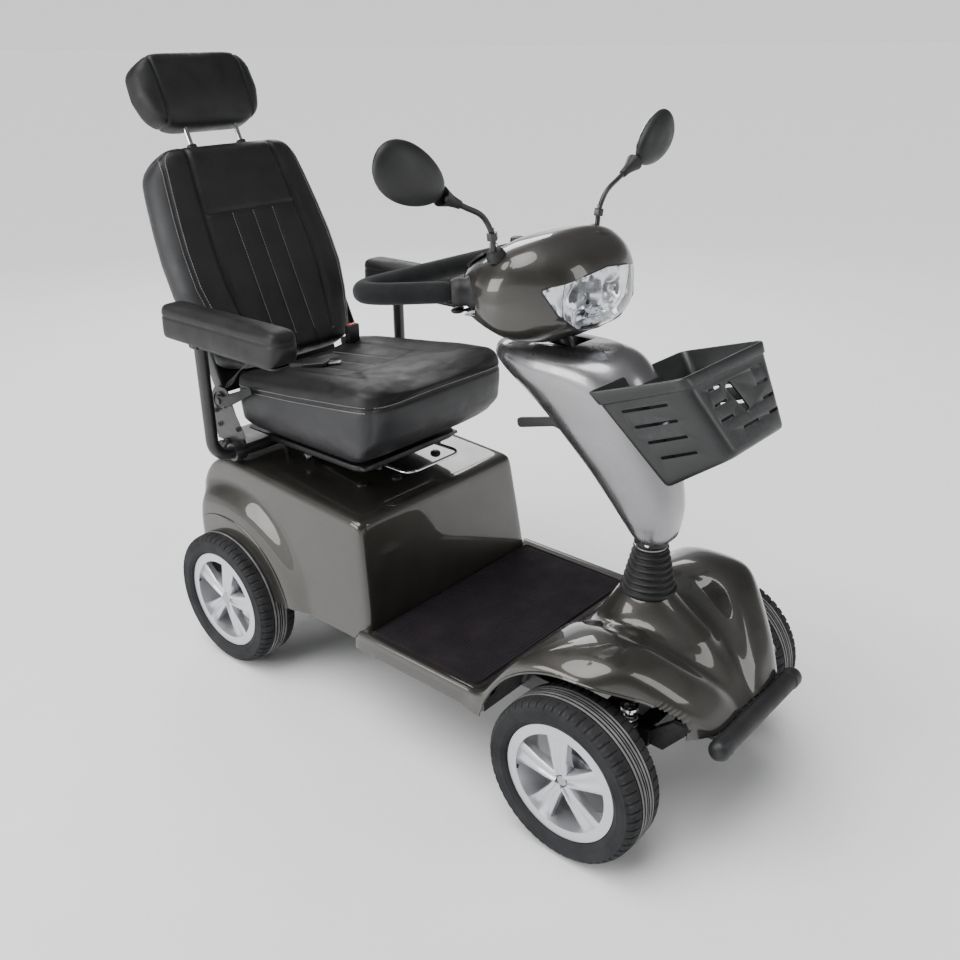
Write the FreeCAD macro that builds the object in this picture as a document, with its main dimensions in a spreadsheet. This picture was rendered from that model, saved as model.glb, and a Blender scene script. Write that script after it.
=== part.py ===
"""Four-wheel mobility scooter: captain's seat on a swivel, tilting steering column, basket, mirrors.

Row frame: +X forwards, +Y to the rider's left, +Z up, origin on the ground under the middle of the
whole length. Lengths along X inside the functions are counted from the rear axle, whose own place
is the cell rear_axle_x. Millimetres.
"""
import FreeCAD, Part
import math
import os
import re

import Sketcher

V = FreeCAD.Vector

SIZES = {
    "rear_axle_x": -424.1,
    "wheelbase": 1002.0,
    "axle_height": 165.0,
    "tyre_radius": 165.0,
    "tyre_half_width": 50.0,
    "rim_radius": 119.0,
    "rim_half_width": 42.0,
    "track_half": 275.0,
    "spoke_count": 5,
    "axle_radius": 15.0,
    "spindle_radius": 10.0,
    "running_gap": 0.05,
    "cover_wall": 4.0,
    "body_half_width": 262.0,
    "deck_half_width": 288.0,
    "deck_height": 236.0,
    "mat_length": 296.0,
    "mat_half_width": 264.0,
    "mat_depth": 4.0,
    "rail_bottom": 150.0,
    "rail_top": 190.0,
    "rail_inner_y": 78.0,
    "rail_width": 30.0,
    "rail_wall": 2.5,
    "steering_x": 975.0,
    "column_radius": 12.0,
    "steering_arm": 60.0,
    "kingpin_y": 200.0,
    "kingpin_radius": 8.0,
    "arm_level": 122.0,
    "pin_radius": 5.0,
    "tilt_height": 560.0,
    "bar_height": 980.0,
    "bar_radius": 11.0,
    "grip_radius": 20.0,
    "bumper_radius": 19.0,
    "bumper_half_width": 158.0,
    "seat_post_x": 135.0,
    "seat_post_radius": 25.0,
    "recline_x": -40.0,
    "recline_height": 640.0,
    "recline_angle": 24.0,
    "arm_y": 300.0,
    "arm_radius": 14.0,
    "socket_height": 530.0,
    "post_radius": 6.0,
    "battery_length": 250.0,
    "battery_width": 165.0,
    "battery_height": 200.0,
}

doc = FreeCAD.newDocument("MobilityScooter")
sheet = doc.addObject("Spreadsheet::Sheet", "Sizes")
for row, (alias, value) in enumerate(SIZES.items(), 1):
    sheet.set(f"A{row}", alias)
    sheet.set(f"B{row}", str(value))
    sheet.setAlias(f"B{row}", alias)
doc.recompute()

ALIAS = re.compile(r"\b(" + "|".join(SIZES) + r")\b")
subparts = {}


# ------------------------------------------------------------------------------------------------
# Helpers: sheet, placing, booleans, outlines
# ------------------------------------------------------------------------------------------------
def size(alias):
    """Value of a driving dimension."""
    return float(sheet.get(alias))


def formula(text):
    """Expression text with each alias pointed at the sheet."""
    return ALIAS.sub(r"Sizes.\1", str(text))


def bind(obj, **formulas):
    """Bind properties of an object to formulas of the sheet's aliases."""
    for name, text in formulas.items():
        obj.setExpression(name, formula(text))
    return obj


def place(obj, at, turn=(0, 0, 1, 0)):
    """Turn about an axis (x, y, z, degrees), then bind the position; x counts from the rear axle."""
    *axis, angle = turn
    obj.Placement = FreeCAD.Placement(V(0, 0, 0), FreeCAD.Rotation(V(*axis), angle))
    obj.setExpression("Placement.Base.x", formula(f"rear_axle_x + {at[0]}"))
    obj.setExpression("Placement.Base.y", formula(at[1]))
    obj.setExpression("Placement.Base.z", formula(at[2]))
    return obj


ALONG = {"X": (0, 1, 0, 90), "Y": (1, 0, 0, -90), "Z": (0, 0, 1, 0)}


def cylinder(name, radius, length, at, along="Z"):
    """Cylinder that starts at a point and runs along +X, +Y or +Z."""
    solid = doc.addObject("Part::Cylinder", name)
    bind(solid, Radius=radius, Height=length)
    return place(solid, at, ALONG[along])


def box(name, low, high, turn=(0, 0, 1, 0)):
    """Box between two corners given as formulas."""
    solid = doc.addObject("Part::Box", name)
    bind(
        solid,
        Length=f"({high[0]}) - ({low[0]})",
        Width=f"({high[1]}) - ({low[1]})",
        Height=f"({high[2]}) - ({low[2]})",
    )
    return place(solid, low, turn)


def sphere(name, radius, at):
    """Ball about a point."""
    solid = doc.addObject("Part::Sphere", name)
    bind(solid, Radius=radius)
    return place(solid, at)


def fuse(name, *solids):
    """One solid from several."""
    union = doc.addObject("Part::MultiFuse", name)
    union.Shapes = list(solids)
    union.Refine = True
    return union


def cut(name, base, *tools):
    """Base with the tools taken out of it."""
    result = doc.addObject("Part::Cut", name)
    result.Base = base
    result.Tool = tools[0] if len(tools) == 1 else fuse(name + "_tools", *tools)
    return result


def common(name, *solids):
    """What the solids share."""
    result = doc.addObject("Part::MultiCommon", name)
    result.Shapes = list(solids)
    return result


def group(name, *solids):
    """Separate solids that share one node."""
    compound = doc.addObject("Part::Compound", name)
    compound.Links = list(solids)
    return compound


def shaped(name, shape):
    """Feature with a shape made by Part's own functions, lengths along X from the rear axle."""
    feature = doc.addObject("Part::Feature", name)
    feature.Shape = Part.makeCompound(shape.Solids)
    return place(feature, (0, 0, 0))


def keep(label, obj):
    """Register an object as a finished sub-part whose label names its file."""
    obj.Label = label
    subparts[label] = obj
    return obj


def corner(before, at, after, radius):
    """Start, middle and end of the arc that rounds one corner."""
    into = (at - before).normalize()
    out = (after - at).normalize()
    turn = into.getAngle(out)
    reach = radius * math.tan(turn / 2)
    start = at - into * reach
    end = at + out * reach
    inward = (out - into).normalize()
    centre = at + inward * (radius / math.cos(turn / 2))
    middle = centre - inward * radius
    return start, middle, end


def outline(points, closed=True):
    """Edges of a path through points (x, y[, radius]); a radius rounds that point."""
    spots = [V(p[0], p[1], 0) for p in points]
    radii = [p[2] if len(p) > 2 else 0 for p in points]
    count = len(spots)
    ends = []
    for i, spot in enumerate(spots):
        if radii[i]:
            ends.append(corner(spots[i - 1], spot, spots[(i + 1) % count], radii[i]))
        else:
            ends.append((spot, None, spot))
    edges = []
    for i in range(count if closed else count - 1):
        start, middle, end = ends[i]
        if middle:
            edges.append(Part.Arc(start, middle, end))
        following = ends[(i + 1) % count][0]
        if end.distanceToPoint(following) > 1e-6:
            edges.append(Part.LineSegment(end, following))
    return edges


def wire(points, normal="Z", closed=True):
    """Wire of an outline drawn in the XY, XZ (normal Y) or YZ (normal X) plane."""
    path = Part.Wire([edge.toShape() for edge in outline(points, closed)])
    if normal == "Y":
        path.rotate(V(0, 0, 0), V(1, 0, 0), 90)
    if normal == "X":
        path.rotate(V(0, 0, 0), V(1, 1, 1), 120)
    return path


def prism(points, normal, low, high):
    """Outline in a plane, made solid between two distances along that plane's normal."""
    step = {"X": V(1, 0, 0), "Y": V(0, 1, 0), "Z": V(0, 0, 1)}[normal]
    face = Part.Face(wire(points, normal))
    face.translate(step * low)
    return face.extrude(step * (high - low))


def rounded(shape, radius, chosen):
    """Shape with the chosen edges filleted."""
    edges = [edge for edge in shape.Edges if chosen(edge)]
    return shape.makeFillet(radius, edges)


def mirrored(shape):
    """Copy on the other side of the middle plane."""
    return shape.mirror(V(0, 0, 0), V(0, 1, 0))


def new_body(name):
    """Empty PartDesign body."""
    return doc.addObject("PartDesign::Body", name)


def sketch_in(body, name, role, level=0):
    """Sketch on one of the body's own planes, lifted along the plane's normal."""
    sketch = body.newObject("Sketcher::SketchObject", name)
    plane = [item for item in body.Origin.OriginFeatures if item.Role == role][0]
    sketch.AttachmentSupport = [(plane, "")]
    sketch.MapMode = "FlatFace"
    sketch.setExpression("AttachmentOffset.Base.z", formula(level))
    return sketch


def draw(sketch, points):
    """Closed outline as sketch geometry."""
    for edge in outline(points):
        sketch.addGeometry(edge, False)
    return sketch


def draw_circle(sketch, radius, centre=(0, 0)):
    """Circle whose radius is bound to a formula."""
    circle = Part.Circle(V(centre[0], centre[1], 0), V(0, 0, 1), 10)
    index = sketch.addGeometry(circle, False)
    ring = sketch.addConstraint(Sketcher.Constraint("Radius", index, 10))
    sketch.setExpression(f"Constraints[{ring}]", formula(radius))
    return sketch


def pad(body, name, sketch, length, symmetric=False):
    """Pad of a sketch."""
    feature = body.newObject("PartDesign::Pad", name)
    feature.Profile = sketch
    feature.SideType = "Symmetric" if symmetric else "One side"
    feature.setExpression("Length", formula(length))
    return feature


def bore(body, name, sketch, reverse=False):
    """Pocket through everything on one side of its sketch."""
    feature = body.newObject("PartDesign::Pocket", name)
    feature.Profile = sketch
    feature.Type = "ThroughAll"
    feature.Reversed = reverse
    return feature


def plate(name, role, points, thickness, level=0, holes=()):
    """Body made of one padded outline, symmetric about its plane, with round holes (x, y, radius)."""
    body = new_body(name)
    pad(body, name + "_pad", draw(sketch_in(body, name + "_outline", role, level), points),
        thickness, symmetric=True)
    for number, (x, y, radius) in enumerate(holes):
        sketch = draw_circle(sketch_in(body, f"{name}_hole{number}", role, level), radius, (x, y))
        feature = bore(body, f"{name}_bore{number}", sketch)
        feature.SideType = "Symmetric"
    return body


def turned(name, role, profile):
    """Body revolved about the sketch's upright axis from a profile of (radius, height) points."""
    body = new_body(name)
    sketch = draw(sketch_in(body, name + "_profile", role), profile)
    feature = body.newObject("PartDesign::Revolution", name + "_turn")
    feature.Profile = sketch
    feature.ReferenceAxis = (sketch, ["V_Axis"])
    feature.Angle = 360
    return body


SIDES = {"right": -1, "left": 1}
FRONT_X = size("wheelbase")
HUB_Z = size("axle_height")
ARCH_RADIUS = 209


# ------------------------------------------------------------------------------------------------
# Wheels
# ------------------------------------------------------------------------------------------------
def wheel_place(body, x, side):
    """Put a wheel part at its hub, outer face outwards."""
    turn = (0, 0, 1, 0) if side > 0 else (0, 0, 1, 180)
    return place(body, (x, f"{side} * track_half", "axle_height"), turn)


def rim(label, x, side, bore_radius):
    """Spoked wheel: barrel, hub and spokes that widen at both ends; local +Y is the outer face."""
    flange = size("rim_radius")
    half = size("rim_half_width")
    barrel = [
        (98, -half), (flange, -half), (flange, 6 - half), (105, 10 - half),
        (105, half - 10), (flange, half - 6), (flange, half), (107, half), (98, half - 13),
    ]
    body = turned(label, "XY_Plane", barrel)
    spoke_face = 33
    spoke = sketch_in(body, label + "_spoke_outline", "XZ_Plane", -spoke_face)
    draw(spoke, [(-15, 20), (-13, 55), (-25, 101), (25, 101), (13, 55), (15, 20)])
    first = pad(body, label + "_spoke", spoke, 15)
    spokes = body.newObject("PartDesign::PolarPattern", label + "_spokes")
    spokes.Originals = [first]
    spokes.Axis = (spoke, ["N_Axis"])
    spokes.Angle = 360
    bind(spokes, Occurrences="spoke_count")
    body.Tip = spokes
    hub = draw_circle(sketch_in(body, label + "_hub_outline", "XZ_Plane", -spoke_face - 2), 30)
    pad(body, label + "_hub", hub, 48)
    eye = draw_circle(sketch_in(body, label + "_eye", "XZ_Plane", -spoke_face - 3), bore_radius)
    bore(body, label + "_bore", eye, reverse=True)
    return keep(label, wheel_place(body, x, side))


def tyre(label, x, side):
    """Tyre with beads inside the rim's flanges and rounded shoulders."""
    tread = size("tyre_radius")
    half = size("tyre_half_width")
    bead = size("rim_half_width") - 6.6
    seat = size("rim_radius") + 0.4
    section = [
        (105.3, 4 - bead), (seat, -bead), (seat + 0.4, -44), (138, -half, 8), (159, 4 - half, 9),
        (tread, 16 - half, 8), (tread, half - 16, 8), (159, half - 4, 9), (138, half, 8),
        (seat + 0.4, 44), (seat, bead), (105.3, bead - 4),
    ]
    return keep(label, wheel_place(turned(label, "XY_Plane", section), x, side))


def axle_shaft(label, side):
    """Half shaft from the gearbox to the outer face of the rear hub."""
    start = "45" if side > 0 else "-(track_half + 34)"
    shaft = cylinder(label, "axle_radius", "track_half - 11", (0, start, "axle_height"), "Y")
    return keep(label, shaft)


def wheels():
    """Rim and tyre at each corner, half shafts at the rear."""
    for side_name, side in SIDES.items():
        rim(f"rim_rear_{side_name}", 0, side, "axle_radius")
        tyre(f"tyre_rear_{side_name}", 0, side)
        axle_shaft(f"axle_shaft_{side_name}", side)
        rim(f"rim_front_{side_name}", "wheelbase", side, "spindle_radius + running_gap")
        tyre(f"tyre_front_{side_name}", "wheelbase", side)


# ------------------------------------------------------------------------------------------------
# Frame, drive and batteries
# ------------------------------------------------------------------------------------------------
def rail(name, side):
    """Channel rail, open inwards, with an eye at the rear for the axle tube."""
    body = new_body(name)
    low = size("rail_bottom")
    high = size("rail_top")
    shape = [(-42, 125, 30), (-42, 205, 30), (60, 205, 20), (110, high, 20), (1060, high),
             (1060, low), (110, low, 20), (60, 125, 20)]
    wall = size("rail_wall")
    hollow = [(95, low + wall), (95, high - wall), (1055, high - wall), (1055, low + wall)]
    level = "-(rail_inner_y + rail_width)" if side > 0 else "rail_inner_y"
    pad(body, name + "_pad", draw(sketch_in(body, name + "_outline", "XZ_Plane", level), shape),
        "rail_width")
    inner = "-rail_inner_y" if side > 0 else "rail_inner_y"
    pocket = body.newObject("PartDesign::Pocket", name + "_channel")
    pocket.Profile = draw(sketch_in(body, name + "_hollow", "XZ_Plane", inner), hollow)
    bind(pocket, Length="rail_width - rail_wall")
    pocket.Reversed = side < 0
    return place(body, (0, 0, 0))


def chassis_frame():
    """Rails, crossmembers, floor pan, seat-post socket and steering head welded into one frame."""
    web = "(rail_inner_y + rail_width - 1)"
    rails = [rail(f"rail_{name}", side) for name, side in SIDES.items()]
    members = [
        box(f"crossmember_{x}", (x - 15, f"-{web}", "rail_bottom + 4"),
            (x + 15, web, "rail_top - 4"))
        for x in (790, 1045)
    ]
    outriggers = [
        box(f"outrigger_{x}", (x - 15, -240, "rail_bottom + 12"), (x + 15, 240, "rail_top"))
        for x in (480, 745)
    ]
    head_block = box("head_block", (945, f"-{web}", "rail_bottom + 4"),
                     (1003, web, "rail_top"))
    pan = box("floor_pan", (100, -106, "rail_top"), (800, 106, "rail_top + 2"))
    socket = cylinder("post_socket", "seat_post_radius + 4", 112, ("seat_post_x", 0, "rail_top"))
    head = cylinder("head_tube", "column_radius + 9", 250, ("steering_x", 0, "rail_bottom"))
    solid = fuse("frame_weldment", *rails, *members, *outriggers, head_block, pan, socket, head)
    post_bore = cylinder("post_bore", "seat_post_radius", 200, ("seat_post_x", 0, "rail_top + 2"))
    head_bore = cylinder("head_bore", "column_radius + running_gap", 300, ("steering_x", 0, 140))
    eye = cylinder("axle_eye", 25, 400, (0, -200, "axle_height"), "Y")
    return keep("chassis_frame", cut("chassis_frame", solid, post_bore, head_bore, eye))


def transaxle():
    """Gearbox casing with an axle tube each side, bored for the half shafts."""
    casing = plate("gear_casing", "XZ_Plane", casing_outline(), 80)
    place(casing, (0, 0, 0))
    tube = cylinder("axle_tube", 25, 400, (0, -200, "axle_height"), "Y")
    solid = fuse("gear_casing_and_tubes", casing, tube)
    bores = [
        cylinder(f"shaft_bore_{name}", "axle_radius + running_gap", 180,
                 (0, 42 if side > 0 else -222, "axle_height"), "Y")
        for name, side in SIDES.items()
    ]
    return keep("transaxle_housing", cut("transaxle_housing", solid, *bores))


def casing_outline():
    """Casing seen from the side: a large round end at the axle, a smaller one at the motor."""
    return [(-72, 105, 40), (-60, 335, 50), (72, 350, 50), (76, 105, 40)]


def drive():
    """Gearbox, motor with its brake, controller and the two batteries."""
    transaxle()
    motor = cylinder("motor_can", 52, 150, (12, -190, 285), "Y")
    brake = cylinder("brake_can", 38, 24, (12, -214, 285), "Y")
    keep("drive_motor", fuse("drive_motor", motor, brake))
    keep("motor_controller", box("motor_controller", (100, 33, "rail_top + 2"),
                                 (165, 77, "rail_top + 72")))
    cells = [
        box(f"battery_{name}", (178, f"({side} - 1) * battery_width / 2 + {side} * 4", "rail_top + 10"),
            ("178 + battery_length", f"({side} + 1) * battery_width / 2 + {side} * 4",
             "rail_top + 10 + battery_height"))
        for name, side in SIDES.items()
    ]
    keep("batteries", group("batteries", *cells))


# ------------------------------------------------------------------------------------------------
# Steering
# ------------------------------------------------------------------------------------------------
def front_axle():
    """Fixed beam with an upright boss at each end, bored for the kingpins."""
    beam = box("axle_beam", (990, -185, 108), (1020, 185, 146))
    boss = [cylinder(f"boss_{n}", 20, 92, ("wheelbase", f"{s} * kingpin_y", 108))
            for n, s in SIDES.items()]
    hole = [cylinder(f"kingpin_bore_{n}", "kingpin_radius + running_gap", 110,
                     ("wheelbase", f"{s} * kingpin_y", 100)) for n, s in SIDES.items()]
    keep("front_axle_beam", cut("front_axle_beam", fuse("beam_and_bosses", beam, *boss), *hole))


def knuckle(label, side):
    """Steering knuckle: ears, kingpin, web, spindle and a trailing arm with its ball pin."""
    def across(low, high):
        """Bounds in Y measured outwards on this side."""
        return (low, high) if side > 0 else (-high, -low)

    def slab(name, x0, x1, y0, y1, z0, z1):
        near, far = across(y0, y1)
        return box(f"{label}_{name}", (x0, near, z0), (x1, far, z1))

    top = slab("top_ear", 984, 1020, 182, 231, 200.3, 208)
    bottom = slab("bottom_ear", 984, 1020, 182, 231, 99.7, 107.7)
    web = slab("web", 984, 1020, 222.5, 231, 99.7, 208)
    arm = slab("arm", 930, 1020, 222.5, 231, 118, 126)
    tip = slab("arm_tip", 930, 954, 188, 231, 118, 126)
    kingpin = cylinder(label + "_kingpin", "kingpin_radius", 114,
                       ("wheelbase", f"{side} * kingpin_y", 97))
    spindle = cylinder(label + "_spindle", "spindle_radius", 76,
                       ("wheelbase", 230 if side > 0 else -306, "axle_height"), "Y")
    pin_start = "arm_level - 1" if side > 0 else "arm_level - 14"
    pin = cylinder(label + "_pin", "pin_radius", 15,
                   ("wheelbase - steering_arm", f"{side} * kingpin_y", pin_start))
    return keep(label, fuse(label, top, bottom, web, arm, tip, kingpin, spindle, pin))


def tie_rod(label, side):
    """Rod from the pitman pin to a knuckle pin; the left rod lies above the arms, the right below."""
    level = "arm_level + 4.3" if side > 0 else "arm_level - 13"
    reach = size("wheelbase") - size("steering_x")
    across = side * size("kingpin_y")
    length = math.hypot(reach, across)
    angle = math.degrees(math.atan2(across, reach))
    near = ("steering_x - steering_arm", 0, level)
    far = ("wheelbase - steering_arm", f"{side} * kingpin_y", level)
    eyes = [cylinder(f"{label}_eye_{n}", 11, 8.7, at) for n, at in (("near", near), ("far", far))]
    bar = doc.addObject("Part::Box", label + "_bar")
    bind(bar, Length=length, Width=8, Height=8.7)
    place(bar, near, (0, 0, 1, angle))
    offset = FreeCAD.Rotation(V(0, 0, 1), angle).multVec(V(0, -4, 0))
    bar.setExpression("Placement.Base.x",
                      formula(f"rear_axle_x + steering_x - steering_arm + {offset.x}"))
    bar.setExpression("Placement.Base.y", formula(offset.y))
    holes = [
        cylinder(f"{label}_near_hole", "pin_radius + 0.3", 20, (near[0], 0, f"{level} - 5")),
        cylinder(f"{label}_far_hole", "pin_radius + running_gap", 20,
                 (far[0], far[1], f"{level} - 5")),
    ]
    return keep(label, cut(label, fuse(label + "_forging", *eyes, bar), *holes))


def steering():
    """Column with its pitman arm and tilt pin, axle beam, knuckles, rods and the rubber bellows."""
    front_axle()
    for name, side in SIDES.items():
        knuckle(f"knuckle_{name}", side)
        tie_rod(f"tie_rod_{name}", side)
    shaft = cylinder("column_shaft", "column_radius", "tilt_height - 116", ("steering_x", 0, 116))
    pitman = box("pitman_arm", ("steering_x - steering_arm - 9", -11, "arm_level - 4"),
                 ("steering_x", 11, "arm_level + 4"))
    pin = cylinder("pitman_pin", "pin_radius", 29, ("steering_x - steering_arm", 0, "arm_level - 14.5"))
    tilt_pin = cylinder("tilt_pin", 12, 60, ("steering_x", -30, "tilt_height"), "Y")
    keep("steering_column", fuse("steering_column", shaft, pitman, pin, tilt_pin))
    keep("steering_bellows", place(turned("steering_bellows", "XZ_Plane", bellows_profile()),
                                   ("steering_x", 0, 0)))


def bellows_profile():
    """Six folds that narrow upwards from the cone to the column."""
    folds = 6
    base = 417
    rise = 15.5
    outer = []
    for fold in range(folds):
        taper = 4.0 * fold
        outer.append((50 - taper, base + rise * fold))
        outer.append((51 - taper, base + rise * (fold + 0.5)))
        outer.append((43 - taper, base + rise * (fold + 0.92)))
    top = base + rise * folds
    outer.append((26, top))
    inner = [(16, top), (16, top - 8), (36, base)]
    return outer + inner


# ------------------------------------------------------------------------------------------------
# Body covers, mat and bumper
# ------------------------------------------------------------------------------------------------
def rear_block(inset):
    """Battery and seat-post cover as a solid, drawn in by an inset; the inset one runs lower."""
    d = inset
    base = 205 if d == 0 else 150
    side_view = [
        (-192 + d, base), (-188 + d, 330, 80), (-115 + d, 512 - d, 75),
        (431 - d, 476 - d, 26), (469 - d, base),
    ]
    half = size("body_half_width") - d
    block = prism(side_view, "Y", -half, half)

    def on_rim(edge):
        """Long edges at the sides, above the lower hem."""
        b = edge.BoundBox
        return abs(abs(b.Center.y) - half) < 0.1 and b.YLength < 0.1 and b.ZMax > base + 5

    return rounded(block, 26 - d, on_rim)


def fender_flare():
    """Arch over the left rear wheel, turned about the axle."""
    profile = [(252, 318), (292, 296, 30), (322, 246, 25), (330, 208), (323, 208), (315, 240, 20),
               (288, 286, 25), (252, 308)]
    ring = Part.Face(wire(profile, "X")).revolve(V(0, 0, 0), V(0, 1, 0), 360)
    return ring.translate(V(0, 0, HUB_Z))


def wheel_gap(x, radius, inner_y, outer_y):
    """Cylinder of clear space round a wheel on the left."""
    return Part.makeCylinder(radius, outer_y - inner_y, V(x, inner_y, HUB_Z), V(0, 1, 0))


def rear_cover():
    """Moulded shell over batteries and drive, with a flared arch over each rear wheel."""
    wall = size("cover_wall")
    shell = rear_block(0).cut(rear_block(wall))
    flare = fender_flare()
    arches = flare.common(Part.makeBox(591, 572, 400, V(-105, -286, 200)))
    inside = rear_block(wall)
    for arch in (arches, mirrored(arches)):
        shell = shell.fuse(arch.cut(inside))
    gap = wheel_gap(0, 207, 212, 340)
    shell = shell.cut(gap).cut(mirrored(gap))
    post_x = size("seat_post_x")
    shell = shell.cut(Part.makeCylinder(size("seat_post_radius") + 6, 100, V(post_x, 0, 450)))
    return keep("rear_cover", shaped("rear_cover", shell.removeSplitter()))


def front_plan(inset):
    """Outline of the front cover from above, as an upright prism."""
    d = inset
    half = size("deck_half_width") - d
    tip = 1203 - d
    plan = [(445 + d, -half), (1040, -half, 60), (1132, 218 * -1 + d, 40), (tip, -125 + d, 15),
            (tip, 125 - d, 15), (1132, 218 - d, 40), (1040, half, 60), (445 + d, half)]
    return prism(plan, "Z", 100, 600)


def front_block(inset):
    """Deck, bonnet, wheel humps and steering cone as one solid, drawn in by an inset."""
    d = inset
    deck = size("deck_height") - d
    base = 200 if d == 0 else 150
    nose_base = 258 if d == 0 else 150
    half = size("deck_half_width")
    middle = [
        (430, base), (430, deck), (776 + d, deck, 25), (880 + d, 338 - d, 40), (1080, 340 - d, 80),
        (1203 - d, 286 - d, 12), (1203 - d, nose_base), (1130, nose_base), (800, base),
    ]
    hump = [
        (792 + d, base), (792 + d, 236 - d), (885 + d, 392 - d, 50), (975, 430 - d, 60),
        (1085, 425 - d, 60), (1160 - d, 360 - d, 60), (1190 - d, 270), (1130, base),
    ]
    body = prism(middle, "Y", -half, half)
    for low, high in ((145 + d, half), (-half, -145 - d)):
        body = body.fuse(prism(hump, "Y", low, high))
    steering_x = size("steering_x")
    cone = Part.makeCone(112 - d, 54 - d, 96, V(steering_x - 4, 0, 320 - d))
    return body.fuse(cone).common(front_plan(d))


def front_cover():
    """Deck with its sills, bonnet, wheel arches and the cone that carries the bellows."""
    wall = size("cover_wall")
    shell = front_block(0).cut(front_block(wall))
    gap = wheel_gap(FRONT_X, ARCH_RADIUS, 168, 340)
    shell = shell.cut(gap).cut(mirrored(gap))
    hole = Part.makeCylinder(32, 120, V(size("steering_x"), 0, 330))
    rear = rear_block(0)
    margin = Part.makeBox(60, 700, 200, V(420, -350, 150))
    shell = shell.cut(hole).cut(rear.common(margin))
    return keep("front_cover", shaped("front_cover", shell.removeSplitter()))


def mat():
    """Rubber mat on the deck."""
    front = 762
    back = front - size("mat_length")
    half = size("mat_half_width")
    points = [(back, -half, 8), (front, -half, 25), (front, half, 25), (back, half, 8)]
    body = new_body("floor_mat")
    sketch = draw(sketch_in(body, "mat_outline", "XY_Plane", "deck_height"), points)
    pad(body, "mat_pad", sketch, "mat_depth")
    keep("floor_mat", place(body, (0, 0, 0)))


def bumper():
    """Round bumper bar on a bracket that reaches back to the rails."""
    keep("bumper_tube", cylinder("bumper_tube", "bumper_radius", "2 * bumper_half_width",
                                 (1224, "-bumper_half_width", 250), "Y"))
    top = box("bracket_plate", (1120, -112, 246), (1204, 112, 254))
    arms = []
    for name, side in SIDES.items():
        arm_body = plate(f"bracket_arm_{name}", "XZ_Plane",
                         [(1060.2, 155), (1060.2, 185), (1130, 246), (1165, 246), (1090, 155)], 20)
        arms.append(place(arm_body, (0, f"{side} * 93", 0)))
    keep("bumper_bracket", fuse("bumper_bracket", top, *arms))


# ------------------------------------------------------------------------------------------------
# Tiller, head, handlebar and controls
# ------------------------------------------------------------------------------------------------
BAR_FRONT_X = 705
BRAKE_PIVOT = (712, -64)
THROTTLE_X = 680


def tiller_frame():
    """Two ears on the tilt pin, a tube, and a clamp for the bar with the brake lever's pivot."""
    foot = V(size("steering_x"), 0, size("tilt_height"))
    bar = size("bar_height")
    top = V(BAR_FRONT_X, 0, bar - 20)
    along = top - foot
    tube = Part.makeCylinder(14, along.Length - 38, foot + along * (38 / along.Length), along)
    ears = [Part.makeCylinder(20, 7, V(size("steering_x"), y, size("tilt_height")), V(0, 1, 0))
            for y in (-23, 16)]
    bridge = Part.makeBox(22, 46, 28, V(-11, -23, 15))
    bridge.rotate(V(0, 0, 0), V(0, 1, 0), math.degrees(math.atan2(along.x, along.z)))
    bridge.translate(foot)
    clamp = Part.makeBox(32, 48, 42, V(BAR_FRONT_X - 16, -24, bar - 24))
    bracket = Part.makeBox(18, 70, 4, V(BAR_FRONT_X - 2, -76, 937.5))
    shelf = Part.makeBox(40, 16, 4, V(THROTTLE_X - 8, -8, 937.5))
    brake_pin = Part.makeCylinder(3, 9, V(*BRAKE_PIVOT, 930))
    throttle_pin = Part.makeCylinder(4, 13, V(THROTTLE_X, 0, 938))
    solid = tube.fuse([*ears, bridge, clamp, bracket, shelf, brake_pin, throttle_pin])
    pin_bore = Part.makeCylinder(12 + size("running_gap"), 80, foot - V(0, 40, 0), V(0, 1, 0))
    bar_bore = Part.makeCylinder(size("bar_radius"), 80, V(BAR_FRONT_X, -40, bar), V(0, 1, 0))
    solid = solid.cut([pin_bore, bar_bore])
    return keep("tiller_frame", shaped("tiller_frame", solid.removeSplitter()))


def tiller_block(inset):
    """Tiller casing as a solid: narrow foot, wide shoulders under the head."""
    d = inset
    side_view = [
        (952 + d, 541), (915 + d, 585 + d, 15), (815 + d, 655 + d, 30), (718 + d, 752 + d, 30),
        (632 + d, 828 + d, 15), (650 + d, 862 - d, 10), (800, 874 - d, 20), (845, 848 - d, 12),
        (922 - d, 842 - d, 25), (1035 - d, 622, 25), (1013 - d, 541),
    ]
    end_view = [
        (-48 + d, 500), (-48 + d, 560), (-84 + d, 660, 80), (-92 + d, 900), (92 - d, 900),
        (84 - d, 660, 80), (48 - d, 560), (48 - d, 500),
    ]
    half = 92 - d
    block = prism(side_view, "Y", -half, half)

    def on_face(edge):
        """Edges that run along the two flat sides."""
        b = edge.BoundBox
        return b.YLength < 0.1 and b.ZMin > 640 and b.ZMax < 868 and edge.Length > 60

    return rounded(block, 20 - d, on_face).common(prism(end_view, "X", 500, 1100))


def tiller_cover():
    """Casing of the tiller, open at the foot, with a slot for the tilt lever."""
    wall = 3.0
    shell = tiller_block(0).cut(tiller_block(wall))
    foot = Part.makeBox(64, 90, 60, V(952, -45, 500))
    slot = Part.makeBox(90, 18, 58, V(715, -9, 680))
    neck = Part.makeBox(110, 60, 60, V(690, -30, 830))
    return keep("tiller_cover", shaped("tiller_cover", shell.cut([foot, slot, neck])))


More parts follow.
